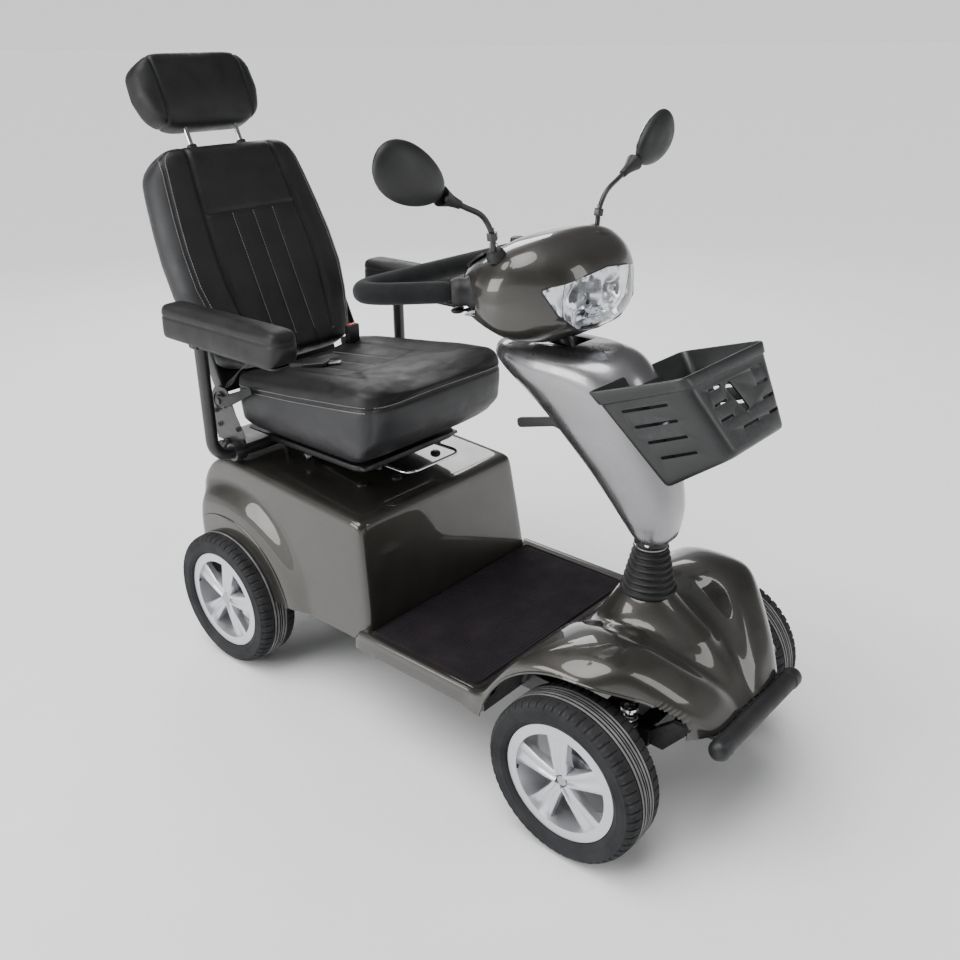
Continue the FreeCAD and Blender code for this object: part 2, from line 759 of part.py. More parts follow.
def head_block(inset):
    """Nacelle as a solid lofted through rounded cross-sections from the rider's side forwards."""
    d = inset
    stations = [
        (602 + d, 116, 925, 1012, 30), (655, 158, 900, 1052, 40), (715, 184, 884, 1078, 45),
        (780, 160, 890, 1089, 45), (832, 126, 905, 1080, 40), (880 - d, 74, 940, 1042, 30),
    ]
    rings = []
    for x, half, low, high, radius in stations:
        half, low, high, radius = half - d, low + d, high - d, radius - d
        ring = wire([(-half, low, radius), (half, low, radius), (half, high, radius),
                     (-half, high, radius)], "X")
        ring.translate(V(x, 0, 0))
        rings.append(ring)
    return Part.makeLoft(rings, True, False)


def dash_cut():
    """Everything above the slanted dash on the rider's side of the head."""
    return prism([(560, 985), (560, 1200), (700, 1200), (700, 1064)], "Y", -300, 300)


MOUTH_LOW = 930
MOUTH_HIGH = 1005
LENS_X = 786


def head_cover():
    """Nacelle with an open mouth at the sides and rear for the bar and the levers."""
    wall = 3.0
    outer = head_block(0).cut(dash_cut())
    inner = head_block(wall).cut(dash_cut().translate(V(0, 0, -wall)))
    mouth = Part.makeBox(210, 400, MOUTH_HIGH - MOUTH_LOW, V(500, -200, MOUTH_LOW))
    window = Part.makeBox(150, 300, 101, V(LENS_X, -150, 914))
    neck = Part.makeBox(100, 70, 60, V(690, -35, 860))
    shell = outer.cut(inner).cut([mouth, window, neck])
    for x, y, radius in dash_holes():
        shell = shell.cut(Part.makeCylinder(radius, 60, V(x, y, 990)))
    foot, bend, _ = stem_points()
    stem_hole = Part.makeCylinder(5.3, 60, foot, bend - foot)
    shell = shell.cut([stem_hole, mirrored(stem_hole)])
    return keep("head_cover", shaped("head_cover", shell))


MIRROR_X = 717
MIRROR_Y = 150


def dash_holes():
    """Place and radius of the holes for key, dial and horn button."""
    return ((645, -70, 5), (645, 0, 5), (645, 70, 7.2))


def dash_level(x):
    """Height of the slanted dash over a place along X."""
    return 985 + (x - 560) * (1064 - 985) / 140


def headlight_lens():
    """Clear front of the nacelle."""
    skin = head_block(0).cut(head_block(2.5))
    window = Part.makeBox(150, 299.4, 100.4, V(LENS_X + 0.3, -149.7, 914.3))
    return keep("headlight_lens", shaped("headlight_lens", skin.common(window)))


def bar_path(level):
    """Closed loop of the handlebar seen from above, with its corners rounded."""
    loop = [(BAR_FRONT_X, -88, 30), (486, -318, 46), (486, 318, 46), (BAR_FRONT_X, 88, 30)]
    path = wire(loop)
    path.translate(V(0, 0, level))
    return path


def handlebar():
    """Tube bent to a loop, with foam from one side of the head round to the other."""
    level = size("bar_height")
    path = bar_path(level)
    tube = loop_pipe(path, size("bar_radius"))
    keep("handlebar_tube", shaped("handlebar_tube", tube))
    foam = loop_pipe(path, size("grip_radius"))
    rear_only = Part.makeBox(400, 800, 100, V(250, -400, level - 50))
    foam = foam.common(rear_only).cut(tube)
    keep("handlebar_grip", shaped("handlebar_grip", foam))


def loop_pipe(path, radius):
    """Round bar along a closed path, joined from one pipe for each straight or bend."""
    solids = []
    for edge in path.Edges:
        start = edge.valueAt(edge.FirstParameter)
        tangent = edge.tangentAt(edge.FirstParameter)
        circle = Part.Wire(Part.makeCircle(radius, start, tangent))
        solids.append(Part.Wire([edge]).makePipeShell([circle], True, False))
    return solids[0].fuse(solids[1:]).removeSplitter()


def basket_ring(rear, front, rear_half, front_half, radius, drop=0):
    """Rounded four-sided ring through a rear and a front point given as (x, z)."""
    slope = V(front[0] - rear[0], 0, front[1] - rear[1])
    length = slope.Length
    ring = wire([(0, -rear_half, radius), (length, -front_half, radius * 1.6),
                 (length, front_half, radius * 1.6), (0, rear_half, radius)])
    ring.rotate(V(0, 0, 0), V(0, 1, 0), -math.degrees(math.atan2(slope.z, slope.x)))
    ring.translate(V(rear[0], 0, rear[1] - drop))
    return ring


def basket():
    """Tapered basket with slotted sides, a handhold in front and a wedge against the tiller."""
    bottom = basket_ring((1052, 690), (1170, 776), 104, 100, 18)
    top = basket_ring((935, 854), (1090, 906), 155, 142, 24)
    outer = Part.makeLoft([bottom, top], True, True)
    floor = basket_ring((1052, 698), (1163, 780), 100, 96, 15)
    mouth = basket_ring((935, 866), (1080, 915), 152, 138, 21)
    inner = Part.makeLoft([floor, mouth], True, True)
    shell = outer.cut(inner)
    slots = []
    for row in range(4):
        slot = Part.makeBox(92 - 6 * row, 400, 9, V(-46 + 3 * row, -200, -4.5))
        slot.rotate(V(0, 0, 0), V(0, 1, 0), -20 - 4 * row)
        slot.translate(V(1020 + 25 * row, 0, 852 - 27 * row))
        slots.append(slot)
    handhold = Part.makeBox(60, 60, 40, V(-30, -30, -20))
    handhold.rotate(V(0, 0, 0), V(0, 1, 0), 20)
    handhold.translate(V(1122, 0, 856))
    shell = shell.cut([*slots, handhold])
    wedge = prism([(985, 745), (1018, 690), (1055, 694), (962, 828), (948, 822)], "Y", -38, 38)
    wedge = wedge.cut(tiller_block(0)).cut(outer)
    return keep("basket", shaped("basket", shell.fuse(wedge).removeSplitter()))


def levers():
    """Throttle bar, brake lever and the tilt lever behind the tiller."""
    bar = [(690, -12, 6), (657, -60, 20), (642, -168, 6), (624, -168, 6), (640, -50, 20),
           (668, 0), (640, 50, 20), (624, 168, 6), (642, 168, 6), (657, 60, 20), (690, 12, 6)]
    wigwag = plate("wigwag_lever", "XY_Plane", bar, 7, 946, [(THROTTLE_X, 0, 4.05)])
    keep("wigwag_lever", place(wigwag, (0, 0, 0)))
    blade = [(724, -52, 8), (696, -58, 10), (628, -116, 14), (634, -146, 10), (668, -138, 20),
             (724, -74, 8)]
    lever = plate("brake_lever", "XY_Plane", blade, 4, 934.5, [(*BRAKE_PIVOT, 3.05)])
    keep("brake_lever", place(lever, (0, 0, 0)))
    knob = [(778, 692, 8), (742, 700, 20), (652, 676, 10), (648, 696, 9), (738, 718, 20),
            (778, 712, 8)]
    keep("tilt_lever", place(plate("tilt_lever", "XZ_Plane", knob, 10), (0, 0, 0)))


def dash_controls():
    """Ignition key, speed dial and horn button, each on a stem through the dash."""
    (key_x, key_y, _), (dial_x, dial_y, _), (horn_x, horn_y, _) = dash_holes()
    key_z = dash_level(key_x)
    stem = cylinder("key_stem", 4.5, 20, (key_x, key_y, key_z - 12))
    bow = box("key_bow", (key_x - 9, key_y - 1.5, key_z + 7), (key_x + 9, key_y + 1.5, key_z + 27))
    keep("ignition_key", fuse("ignition_key", stem, bow))
    dial_z = dash_level(dial_x)
    dial_stem = cylinder("dial_stem", 4.5, 22, (dial_x, dial_y, dial_z - 10))
    dial_knob = cylinder("dial_knob", 15, 14, (dial_x, dial_y, dial_z + 9.5))
    keep("speed_dial", fuse("speed_dial", dial_stem, dial_knob))
    horn_z = dash_level(horn_x)
    keep("horn_button", cylinder("horn_button", 7, 18, (horn_x, horn_y, horn_z - 8)))


def mirrors():
    """Bent stem with a nut at its foot, and an oval housing on its end, each side."""
    for name, side in SIDES.items():
        stem = mirror_stem()
        dish = mirror_dish()
        if side < 0:
            stem = mirrored(stem)
            dish = mirrored(dish)
        keep(f"mirror_stem_{name}", shaped(f"mirror_stem_{name}", stem))
        keep(f"mirror_head_{name}", shaped(f"mirror_head_{name}", dish))


def stem_points():
    """Run of the left stem: up out of the head, then outwards to the housing."""
    return V(MIRROR_X, MIRROR_Y, 1030), V(MIRROR_X, MIRROR_Y + 14, 1118), V(714, 268, 1163)


def mirror_stem():
    """Left stem: shank, arc, arm and foot nut."""
    foot, bend, tip = stem_points()
    start, middle, end = corner(foot, bend, tip, 45)
    path = Part.Wire([
        Part.LineSegment(foot, start).toShape(), Part.Arc(start, middle, end).toShape(),
        Part.LineSegment(end, tip).toShape(),
    ])
    circle = Part.Wire(Part.makeCircle(5, foot, bend - foot))
    rod = path.makePipeShell([circle], True, False)
    nut = Part.Face(Part.makePolygon([V(9.5 * math.cos(k * math.pi / 3), 9.5 * math.sin(k * math.pi / 3),
                                        0) for k in range(7)])).extrude(V(0, 0, 14))
    axis = (bend - foot).normalize()
    nut.Placement = FreeCAD.Placement(foot + axis * 52, FreeCAD.Rotation(V(0, 0, 1), axis))
    return rod.fuse(nut).removeSplitter()


def mirror_dish():
    """Left housing: the front half of a flat egg, bored for the end of the stem."""
    egg = Part.makeSphere(1)
    scale = FreeCAD.Matrix()
    scale.scale(26, 76, 47)
    egg = egg.transformGeometry(scale)
    egg = egg.common(Part.makeBox(60, 200, 200, V(-7, -100, -100)))
    egg.rotate(V(0, 0, 0), V(1, 0, 0), 24)
    egg.rotate(V(0, 0, 0), V(0, 0, 1), 4)
    egg.translate(V(714, 352, 1208))
    foot, bend, tip = stem_points()
    reach = (tip - bend).normalize()
    return egg.cut(Part.makeCylinder(5.1, 60, tip - reach * 57, reach))


# ------------------------------------------------------------------------------------------------
# Seat
# ------------------------------------------------------------------------------------------------
SWIVEL_Y = -106
SWIVEL_Z = 517


def seat_mount():
    """Post with its flange, and the swivel plate with the upper rails."""
    post = cylinder("post_tube", "seat_post_radius", "502 - rail_top - 2",
                    ("seat_post_x", 0, "rail_top + 2"))
    flange = cylinder("post_flange", 70, 4.8, ("seat_post_x", 0, 501.2))
    keep("seat_post", fuse("seat_post", post, flange))
    disc = cylinder("swivel_disc", 100, 5, ("seat_post_x", 0, 506.3))
    rails = [box(f"slide_rail_{n}", ("seat_post_x - 130", f"{s} * 85 - 10", 509),
                 ("seat_post_x + 150", f"{s} * 85 + 10", 518)) for n, s in SIDES.items()]
    ears = []
    for x in (-11, 11):
        for part, reach, low, high in (("foot", -92, 507, 512), ("ear", -99.8, 508, SWIVEL_Z + 5)):
            ears.append(box(f"swivel_{part}_{x}", (f"seat_post_x + {x} - 2", SWIVEL_Y - 5, low),
                            (f"seat_post_x + {x} + 2", reach, high)))
    pivot_bore = cylinder("swivel_bore", "3 + running_gap", 40,
                          ("seat_post_x - 20", SWIVEL_Y, SWIVEL_Z), "X")
    keep("swivel_plate", cut("swivel_plate", fuse("swivel_weldment", disc, *rails, *ears), pivot_bore))


HANDLE_X = 330
HANDLE_Z = 533


def recliner_plates():
    """Steel side plates behind the cushion that carry the recline pin."""
    shape = [(-72, 548), (-78, 640, 12), (-62, 668, 20), (-18, 668, 20), (-6, 630, 20), (30, 548)]
    plates = []
    for name, side in SIDES.items():
        body = plate(f"recliner_plate_{name}", "XZ_Plane", shape, 6)
        plates.append(place(body, (0, f"{side} * 226", 0)))
    return plates


def seat_pan():
    """Pan on lower rails, sockets for the arm tubes, side plates and the recline pin."""
    pan = fuse("pan_sheet", box("pan_middle", (-70, -150, 541), (345, 150, 548)),
               box("pan_back", (-70, -229, 541), (30, 229, 548)))
    runners = [box(f"runner_{n}", (20, f"{s} * 85 - 14", 518.3), (300, f"{s} * 85 + 14", 541))
               for n, s in SIDES.items()]
    sockets = [cylinder(f"arm_socket_{n}", "arm_radius + 3", 120,
                        (10, 109 if s > 0 else -229, "socket_height"), "Y") for n, s in SIDES.items()]
    pin = cylinder("recline_pin", 8, 470, ("recline_x", -241, "recline_height"), "Y")
    clips = [box(f"handle_clip_{n}", (322, f"{s} * 96 - 4", 526), (338, f"{s} * 96 + 4", 542))
             for n, s in SIDES.items()]
    solid = fuse("pan_weldment", pan, *runners, *sockets, *clips, pin, *recliner_plates())
    bores = [cylinder(f"arm_bore_{n}", "arm_radius + running_gap", 130,
                      (10, 104 if s > 0 else -234, "socket_height"), "Y") for n, s in SIDES.items()]
    bores.append(cylinder("handle_bore", "4 + running_gap", 240, (HANDLE_X, -120, HANDLE_Z), "Y"))
    keep("seat_pan", cut("seat_pan", solid, *bores))


def seat_cushion():
    """Seat cushion, thicker in front."""
    side_view = [(0, 549), (-20, 600, 20), (-22, 702, 25), (425, 752, 45), (458, 650, 50),
                 (400, 590, 40), (350, 549)]
    block = prism(side_view, "Y", -222, 222)
    cushion = rounded(block, 30, lambda e: e.BoundBox.YLength < 0.1 and e.BoundBox.ZMin > 600
                      and e.BoundBox.ZLength + e.BoundBox.XLength > 60)
    keep("seat_cushion", shaped("seat_cushion", cushion))


def leaned(shape):
    """Turn a shape drawn upright round the recline pin to the seat's resting angle."""
    shape.rotate(V(0, 0, 0), V(0, 1, 0), -size("recline_angle"))
    shape.translate(V(size("recline_x"), 0, size("recline_height")))
    return shape


def backrest():
    """Padded back that widens to the shoulders, with lugs on the recline pin and post sleeves."""
    front_view = [(-190, 70, 30), (-236, 250, 150), (-232, 330, 150), (-206, 575, 60),
                  (206, 575, 60), (232, 330, 150), (236, 250, 150), (190, 70, 30)]
    pad_solid = prism(front_view, "X", -60, 50)
    pad_solid = rounded(pad_solid, 28, lambda e: abs(e.BoundBox.XMin - 50) < 0.1
                        and e.BoundBox.XLength < 0.1)
    pieces = []
    for side in (-1, 1):
        lug = Part.makeBox(30, 8, 224, V(-26, side * 216 - 4, -14))
        pieces.append(lug)
    solid = pad_solid.fuse(pieces)
    pin_bore = Part.makeCylinder(8 + size("running_gap"), 500, V(0, -250, 0), V(0, 1, 0))
    posts = [Part.makeCylinder(size("post_radius") + size("running_gap"), 220,
                               V(POST_X, side * POST_Y, 400), V(0, 0, 1)) for side in (-1, 1)]
    solid = solid.cut([pin_bore, *posts])
    keep("backrest", shaped("backrest", leaned(solid)))


POST_X = 0
POST_Y = 70


def headrest():
    """Head pad on two posts that slide in the backrest."""
    block = prism([(-135, 618, 40), (-165, 700, 60), (-150, 792, 50), (150, 792, 50),
                   (165, 700, 60), (135, 618, 40)], "X", -42, 38)
    block = rounded(block, 18, lambda e: e.BoundBox.XLength < 0.1)
    posts = [Part.makeCylinder(size("post_radius"), 190, V(POST_X, side * POST_Y, 460), V(0, 0, 1))
             for side in (-1, 1)]
    holes = [Part.makeCylinder(size("post_radius"), 40, V(POST_X, side * POST_Y, 610), V(0, 0, 1))
             for side in (-1, 1)]
    keep("headrest_pad", shaped("headrest_pad", leaned(block.cut(holes))))
    keep("headrest_posts", shaped("headrest_posts", leaned(Part.makeCompound(posts))))


def armrests():
    """Bent arm tube in its socket and a hinged pad on top, each side."""
    arm_y = size("arm_y")
    radius = size("arm_radius")
    for name, side in SIDES.items():
        level = size("socket_height")
        inner = V(10, 125, level)
        elbow = V(10, arm_y, level)
        top = V(10, arm_y, 790)
        start, middle, end = corner(inner, elbow, top, 45)
        path = Part.Wire([
            Part.LineSegment(inner, start).toShape(), Part.Arc(start, middle, end).toShape(),
            Part.LineSegment(end, top).toShape(),
        ])
        circle = Part.Wire(Part.makeCircle(radius, inner, V(0, 1, 0)))
        tube = path.makePipeShell([circle], True, False)
        pin = Part.makeCylinder(6, 40, V(10, arm_y - 20, 800), V(0, 1, 0))
        lug = Part.makeBox(22, 16, 34, V(-1, arm_y - 8, 780))
        tube = tube.fuse([pin, lug])
        rest = rounded(Part.makeBox(412, 72, 78, V(-92, arm_y - 36, 802)), 26,
                       lambda e: e.BoundBox.XLength > 300 or e.BoundBox.ZLength > 50)
        boss = Part.makeCylinder(9.5, 40, V(10, arm_y - 20, 800), V(0, 1, 0))
        cheeks = boss.fuse(Part.makeBox(19, 40, 20, V(0.5, arm_y - 20, 800)))
        rest = rest.fuse(cheeks)
        slot = Part.makeBox(60, 17, 60, V(-20, arm_y - 8.5, 770))
        hinge = Part.makeCylinder(6 + size("running_gap"), 60, V(10, arm_y - 30, 800), V(0, 1, 0))
        groove = Part.makeBox(95, 2 * radius + 4, radius + 4, V(-95, arm_y - radius - 2, 798))
        rest = rest.cut([slot, hinge, groove])
        if side < 0:
            tube = mirrored(tube)
            rest = mirrored(rest)
        keep(f"arm_tube_{name}", shaped(f"arm_tube_{name}", tube))
        keep(f"arm_pad_{name}", shaped(f"arm_pad_{name}", rest))


def seat_levers():
    """Recline lever, slide loop, swivel lever, and the belt buckle with its button."""
    lever = [(-52, 628, 8), (-52, 652, 8), (-20, 654, 20), (84, 700, 6), (90, 684, 6), (-8, 632, 20)]
    blade = plate("recline_lever", "XZ_Plane", lever, 8, 0, [(-40, 640, 8.05)])
    keep("recline_lever", place(blade, (0, -234, 0)))
    start = HANDLE_X - 1
    loop = wire([(start, -84), (415, -84, 25), (415, 84, 25), (start, 84)], closed=False)
    loop.translate(V(0, 0, HANDLE_Z))
    circle = Part.Wire(Part.makeCircle(3.6, V(start, -84, HANDLE_Z), V(1, 0, 0)))
    bow = loop.makePipeShell([circle], True, False)
    pivot = Part.makeCylinder(4, 206, V(HANDLE_X, -103, HANDLE_Z), V(0, 1, 0))
    keep("slide_handle", shaped("slide_handle", bow.fuse(pivot)))
    rod = cylinder("swivel_rod", 4, 22, ("seat_post_x", SWIVEL_Y - 22, SWIVEL_Z), "Y")
    ball = sphere("swivel_ball", 10, ("seat_post_x", SWIVEL_Y - 26, SWIVEL_Z))
    pivot = cylinder("swivel_pivot", 3, 28, ("seat_post_x - 14", SWIVEL_Y, SWIVEL_Z), "X")
    keep("swivel_lever", fuse("swivel_lever", rod, ball, pivot))
    case = box("buckle_case", (8, 116, 707.8), (24, 148, 752))
    keep("belt_buckle", cut("belt_buckle", case, box("buckle_well", (11, 120, 738), (21, 144, 760))))
    keep("buckle_button", box("buckle_button", (11.2, 120.2, 741), (20.8, 143.8, 754)))


# ------------------------------------------------------------------------------------------------
# Build, check and write
# ------------------------------------------------------------------------------------------------
def build():
    """Make every sub-part."""
    wheels()
    chassis_frame()
    drive()
    steering()
    rear_cover()
    front_cover()
    mat()
    bumper()
    tiller_frame()
    tiller_cover()
    head_cover()
    headlight_lens()
    handlebar()
    basket()
    levers()
    dash_controls()
    mirrors()
    seat_mount()
    seat_pan()
    seat_cushion()
    backrest()
    headrest()
    armrests()
    seat_levers()


def check():
    """Stop on any failed object or unusable shape."""
    for obj in doc.Objects:
        if {"Invalid", "Error"} & set(obj.State):
            raise RuntimeError(f"{obj.Name} failed: {obj.State}")
    for label, obj in subparts.items():
        shape = obj.Shape
        if shape.isNull() or not shape.isValid() or not shape.Solids:
            raise RuntimeError(f"{label} has no valid solid")


def write():
    """One STEP file for each sub-part, and the whole extent for reference."""
    os.makedirs("parts", exist_ok=True)
    whole = FreeCAD.BoundBox()
    for label, obj in subparts.items():
        obj.Shape.exportStep(f"parts/{label}.step")
        whole.add(obj.Shape.BoundBox)
    print(len(subparts), "sub-parts", whole)


build()
doc.recompute()
check()
write()
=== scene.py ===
"""Looks for the mobility scooter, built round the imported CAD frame.

Shapes are worked out in millimetres from the rear axle: x forwards, y to the rider's left, z up.
"""

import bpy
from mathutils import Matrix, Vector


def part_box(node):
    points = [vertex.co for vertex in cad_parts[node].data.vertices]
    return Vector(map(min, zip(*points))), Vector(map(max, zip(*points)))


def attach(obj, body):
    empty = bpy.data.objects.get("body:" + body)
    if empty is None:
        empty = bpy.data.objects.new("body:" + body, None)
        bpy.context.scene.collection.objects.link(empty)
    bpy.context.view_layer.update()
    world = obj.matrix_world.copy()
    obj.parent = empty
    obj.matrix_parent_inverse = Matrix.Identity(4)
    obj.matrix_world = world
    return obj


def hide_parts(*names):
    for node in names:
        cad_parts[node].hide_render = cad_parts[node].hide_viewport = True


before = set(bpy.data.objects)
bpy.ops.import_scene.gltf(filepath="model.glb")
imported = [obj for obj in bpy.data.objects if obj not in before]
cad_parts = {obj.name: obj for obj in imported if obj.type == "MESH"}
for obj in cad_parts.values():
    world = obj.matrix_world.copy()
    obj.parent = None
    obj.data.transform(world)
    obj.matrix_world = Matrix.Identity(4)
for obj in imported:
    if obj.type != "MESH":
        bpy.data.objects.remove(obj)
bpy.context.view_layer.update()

import functools
import math

import bmesh
import bpy
import numpy as np
from mathutils import Matrix, Vector
from mathutils.bvhtree import BVHTree

MM = 0.001
rear_low, rear_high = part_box("rim_rear_right")
AXLE_X = (rear_low.x + rear_high.x) / 2 / MM
HUB_Z = (rear_low.z + rear_high.z) / 2 / MM
front_low, front_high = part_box("rim_front_right")
FRONT_X = (front_low.x + front_high.x) / 2 / MM - AXLE_X
TRACK = 275.0       # half the distance between the wheels of an axle
COLUMN_X = 975     # steering column
SIDES = {"right": -1, "left": 1}


# ------------------------------------------------------------------ materials
def node(tree, kind, **settings):
    """Add a shader node; settings name inputs (by label) or attributes."""
    made = tree.nodes.new(kind)
    for key, value in settings.items():
        if key in made.inputs:
            made.inputs[key].default_value = value
        else:
            setattr(made, key, value)
    return made


def surface(name, colour, rough=0.5, metallic=0.0, coat=0.0, coat_rough=0.05, tint=0.18, tint_scale=7.0,
            grain=("noise", 300.0, 0.1, 0.0002), wear=0.0, wear_colour=(0.3, 0.3, 0.3), flake=0.0,
            rough_spread=0.12, sheen=0.0, specular=0.5, alpha_glass=False, wrinkles=0.0):
    """Principled material with tinted colour, uneven roughness, a fine bump and worn edges."""
    material = bpy.data.materials.new(name)
    material.use_nodes = True
    material.diffuse_color = (*colour, 1)
    tree = material.node_tree
    tree.nodes.clear()
    out = tree.nodes.new("ShaderNodeOutputMaterial")
    shader = tree.nodes.new("ShaderNodeBsdfPrincipled")
    tree.links.new(shader.outputs[0], out.inputs[0])
    fixed = {"Metallic": metallic, "Coat Weight": coat, "Coat Roughness": coat_rough, "Sheen Weight": sheen,
             "Specular IOR Level": specular, "Sheen Roughness": 0.4}
    for key, value in fixed.items():
        shader.inputs[key].default_value = value
    if alpha_glass:
        shader.inputs["Transmission Weight"].default_value = 1.0
        shader.inputs["IOR"].default_value = 1.45
    place = tree.nodes.new("ShaderNodeTexCoord").outputs["Object"]

    def noise(scale, detail=4.0, stretch=None):
        made = node(tree, "ShaderNodeTexNoise", Scale=scale, Detail=detail)
        if stretch:
            mapping = tree.nodes.new("ShaderNodeMapping")
            mapping.inputs["Scale"].default_value = stretch
            tree.links.new(place, mapping.inputs[0])
            tree.links.new(mapping.outputs[0], made.inputs["Vector"])
        else:
            tree.links.new(place, made.inputs["Vector"])
        return made.outputs["Fac"]

    def spread(source, low, high, start=0.3, end=0.7):
        made = tree.nodes.new("ShaderNodeMapRange")
        for label, value in (("From Min", start), ("From Max", end), ("To Min", low), ("To Max", high)):
            made.inputs[label].default_value = value
        tree.links.new(source, made.inputs["Value"])
        return made.outputs["Result"]

    def mixed(factor, first, second, mode="MIX"):
        made = tree.nodes.new("ShaderNodeMix")
        made.data_type = "RGBA"
        made.blend_type = mode
        for value, label in ((factor, 0), (first, 6), (second, 7)):
            if isinstance(value, (tuple, list)):
                made.inputs[label].default_value = (*value, 1)
            elif isinstance(value, float):
                made.inputs[label].default_value = value
            else:
                tree.links.new(value, made.inputs[label])
        return made.outputs[2]

    light = tuple(min(1.0, c * (1 + tint)) for c in colour)
    dark = tuple(c * (1 - tint) for c in colour)
    base = mixed(spread(noise(tint_scale), 0.0, 1.0), dark, light)
    if flake:
        cells = node(tree, "ShaderNodeTexVoronoi", Scale=2600.0)
        tree.links.new(place, cells.inputs["Vector"])
        bright = mixed(spread(cells.outputs["Color"], 0.0, 1.0, 0.0, 1.0), (1 - flake,) * 3, (1 + flake,) * 3)
        base = mixed(1.0, base, bright, "MULTIPLY")
    if wear:
        edge = tree.nodes.new("ShaderNodeNewGeometry").outputs["Pointiness"]
        worn = tree.nodes.new("ShaderNodeMath")
        worn.operation = "MULTIPLY"
        tree.links.new(spread(edge, 0.0, wear, 0.53, 0.64), worn.inputs[0])
        tree.links.new(spread(noise(90.0), 0.2, 1.0), worn.inputs[1])
        base = mixed(worn.outputs[0], base, wear_colour)
    tree.links.new(base, shader.inputs["Base Color"])
    low = max(0.02, rough - rough_spread * rough)
    high = min(1.0, rough + rough_spread)
    tree.links.new(spread(noise(23.0, 6.0), low, high), shader.inputs["Roughness"])
    kind, scale, strength, depth = grain
    if kind == "cells":
        cells = node(tree, "ShaderNodeTexVoronoi", Scale=scale, feature="DISTANCE_TO_EDGE")
        tree.links.new(place, cells.inputs["Vector"])
        height = spread(cells.outputs["Distance"], 0.0, 1.0, 0.0, 0.12)
    elif kind == "weave":
        wave_a = node(tree, "ShaderNodeTexWave", Scale=scale, bands_direction="X")
        wave_b = node(tree, "ShaderNodeTexWave", Scale=scale, bands_direction="Y")
        tree.links.new(place, wave_a.inputs["Vector"])
        tree.links.new(place, wave_b.inputs["Vector"])
        joined = tree.nodes.new("ShaderNodeMath")
        joined.operation = "MULTIPLY"
        tree.links.new(wave_a.outputs["Fac"], joined.inputs[0])
        tree.links.new(wave_b.outputs["Fac"], joined.inputs[1])
        height = joined.outputs[0]
    else:
        height = noise(scale, 5.0)
    bump = node(tree, "ShaderNodeBump", Strength=strength, Distance=depth)
    tree.links.new(height, bump.inputs["Height"])
    last = bump
    if wrinkles:
        folds = node(tree, "ShaderNodeBump", Strength=wrinkles, Distance=0.003)
        tree.links.new(noise(38.0, 3.0, (1.0, 1.0, 0.45)), folds.inputs["Height"])
        tree.links.new(bump.outputs[0], folds.inputs["Normal"])
        last = folds
    tree.links.new(last.outputs[0], shader.inputs["Normal"])
    if coat:
        peel = node(tree, "ShaderNodeBump", Strength=0.035, Distance=0.0006)
        tree.links.new(noise(260.0, 2.0), peel.inputs["Height"])
        tree.links.new(peel.outputs[0], shader.inputs["Coat Normal"])
    return material


BODY_PAINT = surface("body_paint", (0.046, 0.043, 0.037), rough=0.34, metallic=0.6, coat=1.0, coat_rough=0.035,
                     tint=0.07, flake=0.32, grain=("noise", 900.0, 0.03, 0.0002), wear=0.25,
                     wear_colour=(0.16, 0.155, 0.145))
TILLER_PAINT = surface("tiller_paint", (0.27, 0.265, 0.275), rough=0.27, metallic=0.9, coat=1.0,
                       coat_rough=0.04, tint=0.05, flake=0.1, grain=("noise", 900.0, 0.03, 0.0002))
LEATHER = surface("leather", (0.0075, 0.0075, 0.008), rough=0.45, tint=0.3, tint_scale=14.0,
                  grain=("cells", 720.0, 0.28, 0.00025), rough_spread=0.14, wrinkles=0.10, wear=0.2,
                  wear_colour=(0.028, 0.028, 0.03), specular=0.4)
# Lighter, bluish copy of the black leather: painted highlight for the lit sides of the seat and backrest.
LEATHER_PAINTED_LIT = surface("leather_painted_lit", (0.017, 0.0175, 0.019), rough=0.4, tint=0.2, tint_scale=10.0,
                       grain=("cells", 560.0, 0.3, 0.0003), rough_spread=0.12, wrinkles=0.12, wear=0.25,
                       wear_colour=(0.045, 0.045, 0.05), specular=0.45)
THREAD = surface("thread", (0.36, 0.36, 0.35), rough=0.75, tint=0.2, tint_scale=60.0,
                 grain=("noise", 2500.0, 0.3, 0.0002), sheen=0.3)
FOAM = surface("foam", (0.012, 0.013, 0.0135), rough=0.85, tint=0.25, tint_scale=30.0,
               grain=("cells", 1300.0, 0.35, 0.0003), sheen=0.15, specular=0.25)
TYRE = surface("tyre", (0.017, 0.018, 0.020), rough=0.78, tint=0.3, tint_scale=18.0, specular=0.3,
               grain=("noise", 700.0, 0.25, 0.0004), wear=0.5, wear_colour=(0.16, 0.16, 0.16))
TREAD = surface("tread", (0.022, 0.022, 0.023), rough=0.85, tint=0.35, tint_scale=25.0, specular=0.25,
                grain=("noise", 500.0, 0.3, 0.0005), wear=0.9, wear_colour=(0.3, 0.29, 0.28))
WORN = surface("worn_tread", (0.17, 0.17, 0.172), rough=0.85, tint=0.3, tint_scale=25.0, specular=0.25,
               grain=("noise", 500.0, 0.3, 0.0005), wear=0.6, wear_colour=(0.32, 0.31, 0.3))
ALLOY = surface("alloy", (0.62, 0.635, 0.66), rough=0.32, metallic=0.75, coat=0.5, coat_rough=0.12, tint=0.05,
                flake=0.08, grain=("noise", 500.0, 0.05, 0.0002), wear=0.2, wear_colour=(0.5, 0.5, 0.5))
BLACK_STEEL = surface("black_steel", (0.012, 0.012, 0.013), rough=0.36, coat=0.3, coat_rough=0.2, tint=0.2,
                      grain=("noise", 420.0, 0.12, 0.0003), wear=0.4, wear_colour=(0.07, 0.07, 0.07))
STEEL = surface("steel", (0.44, 0.44, 0.45), rough=0.34, metallic=1.0, tint=0.12, tint_scale=40.0,
                grain=("noise", 800.0, 0.12, 0.0002), rough_spread=0.2, wear=0.3,
                wear_colour=(0.6, 0.6, 0.6))
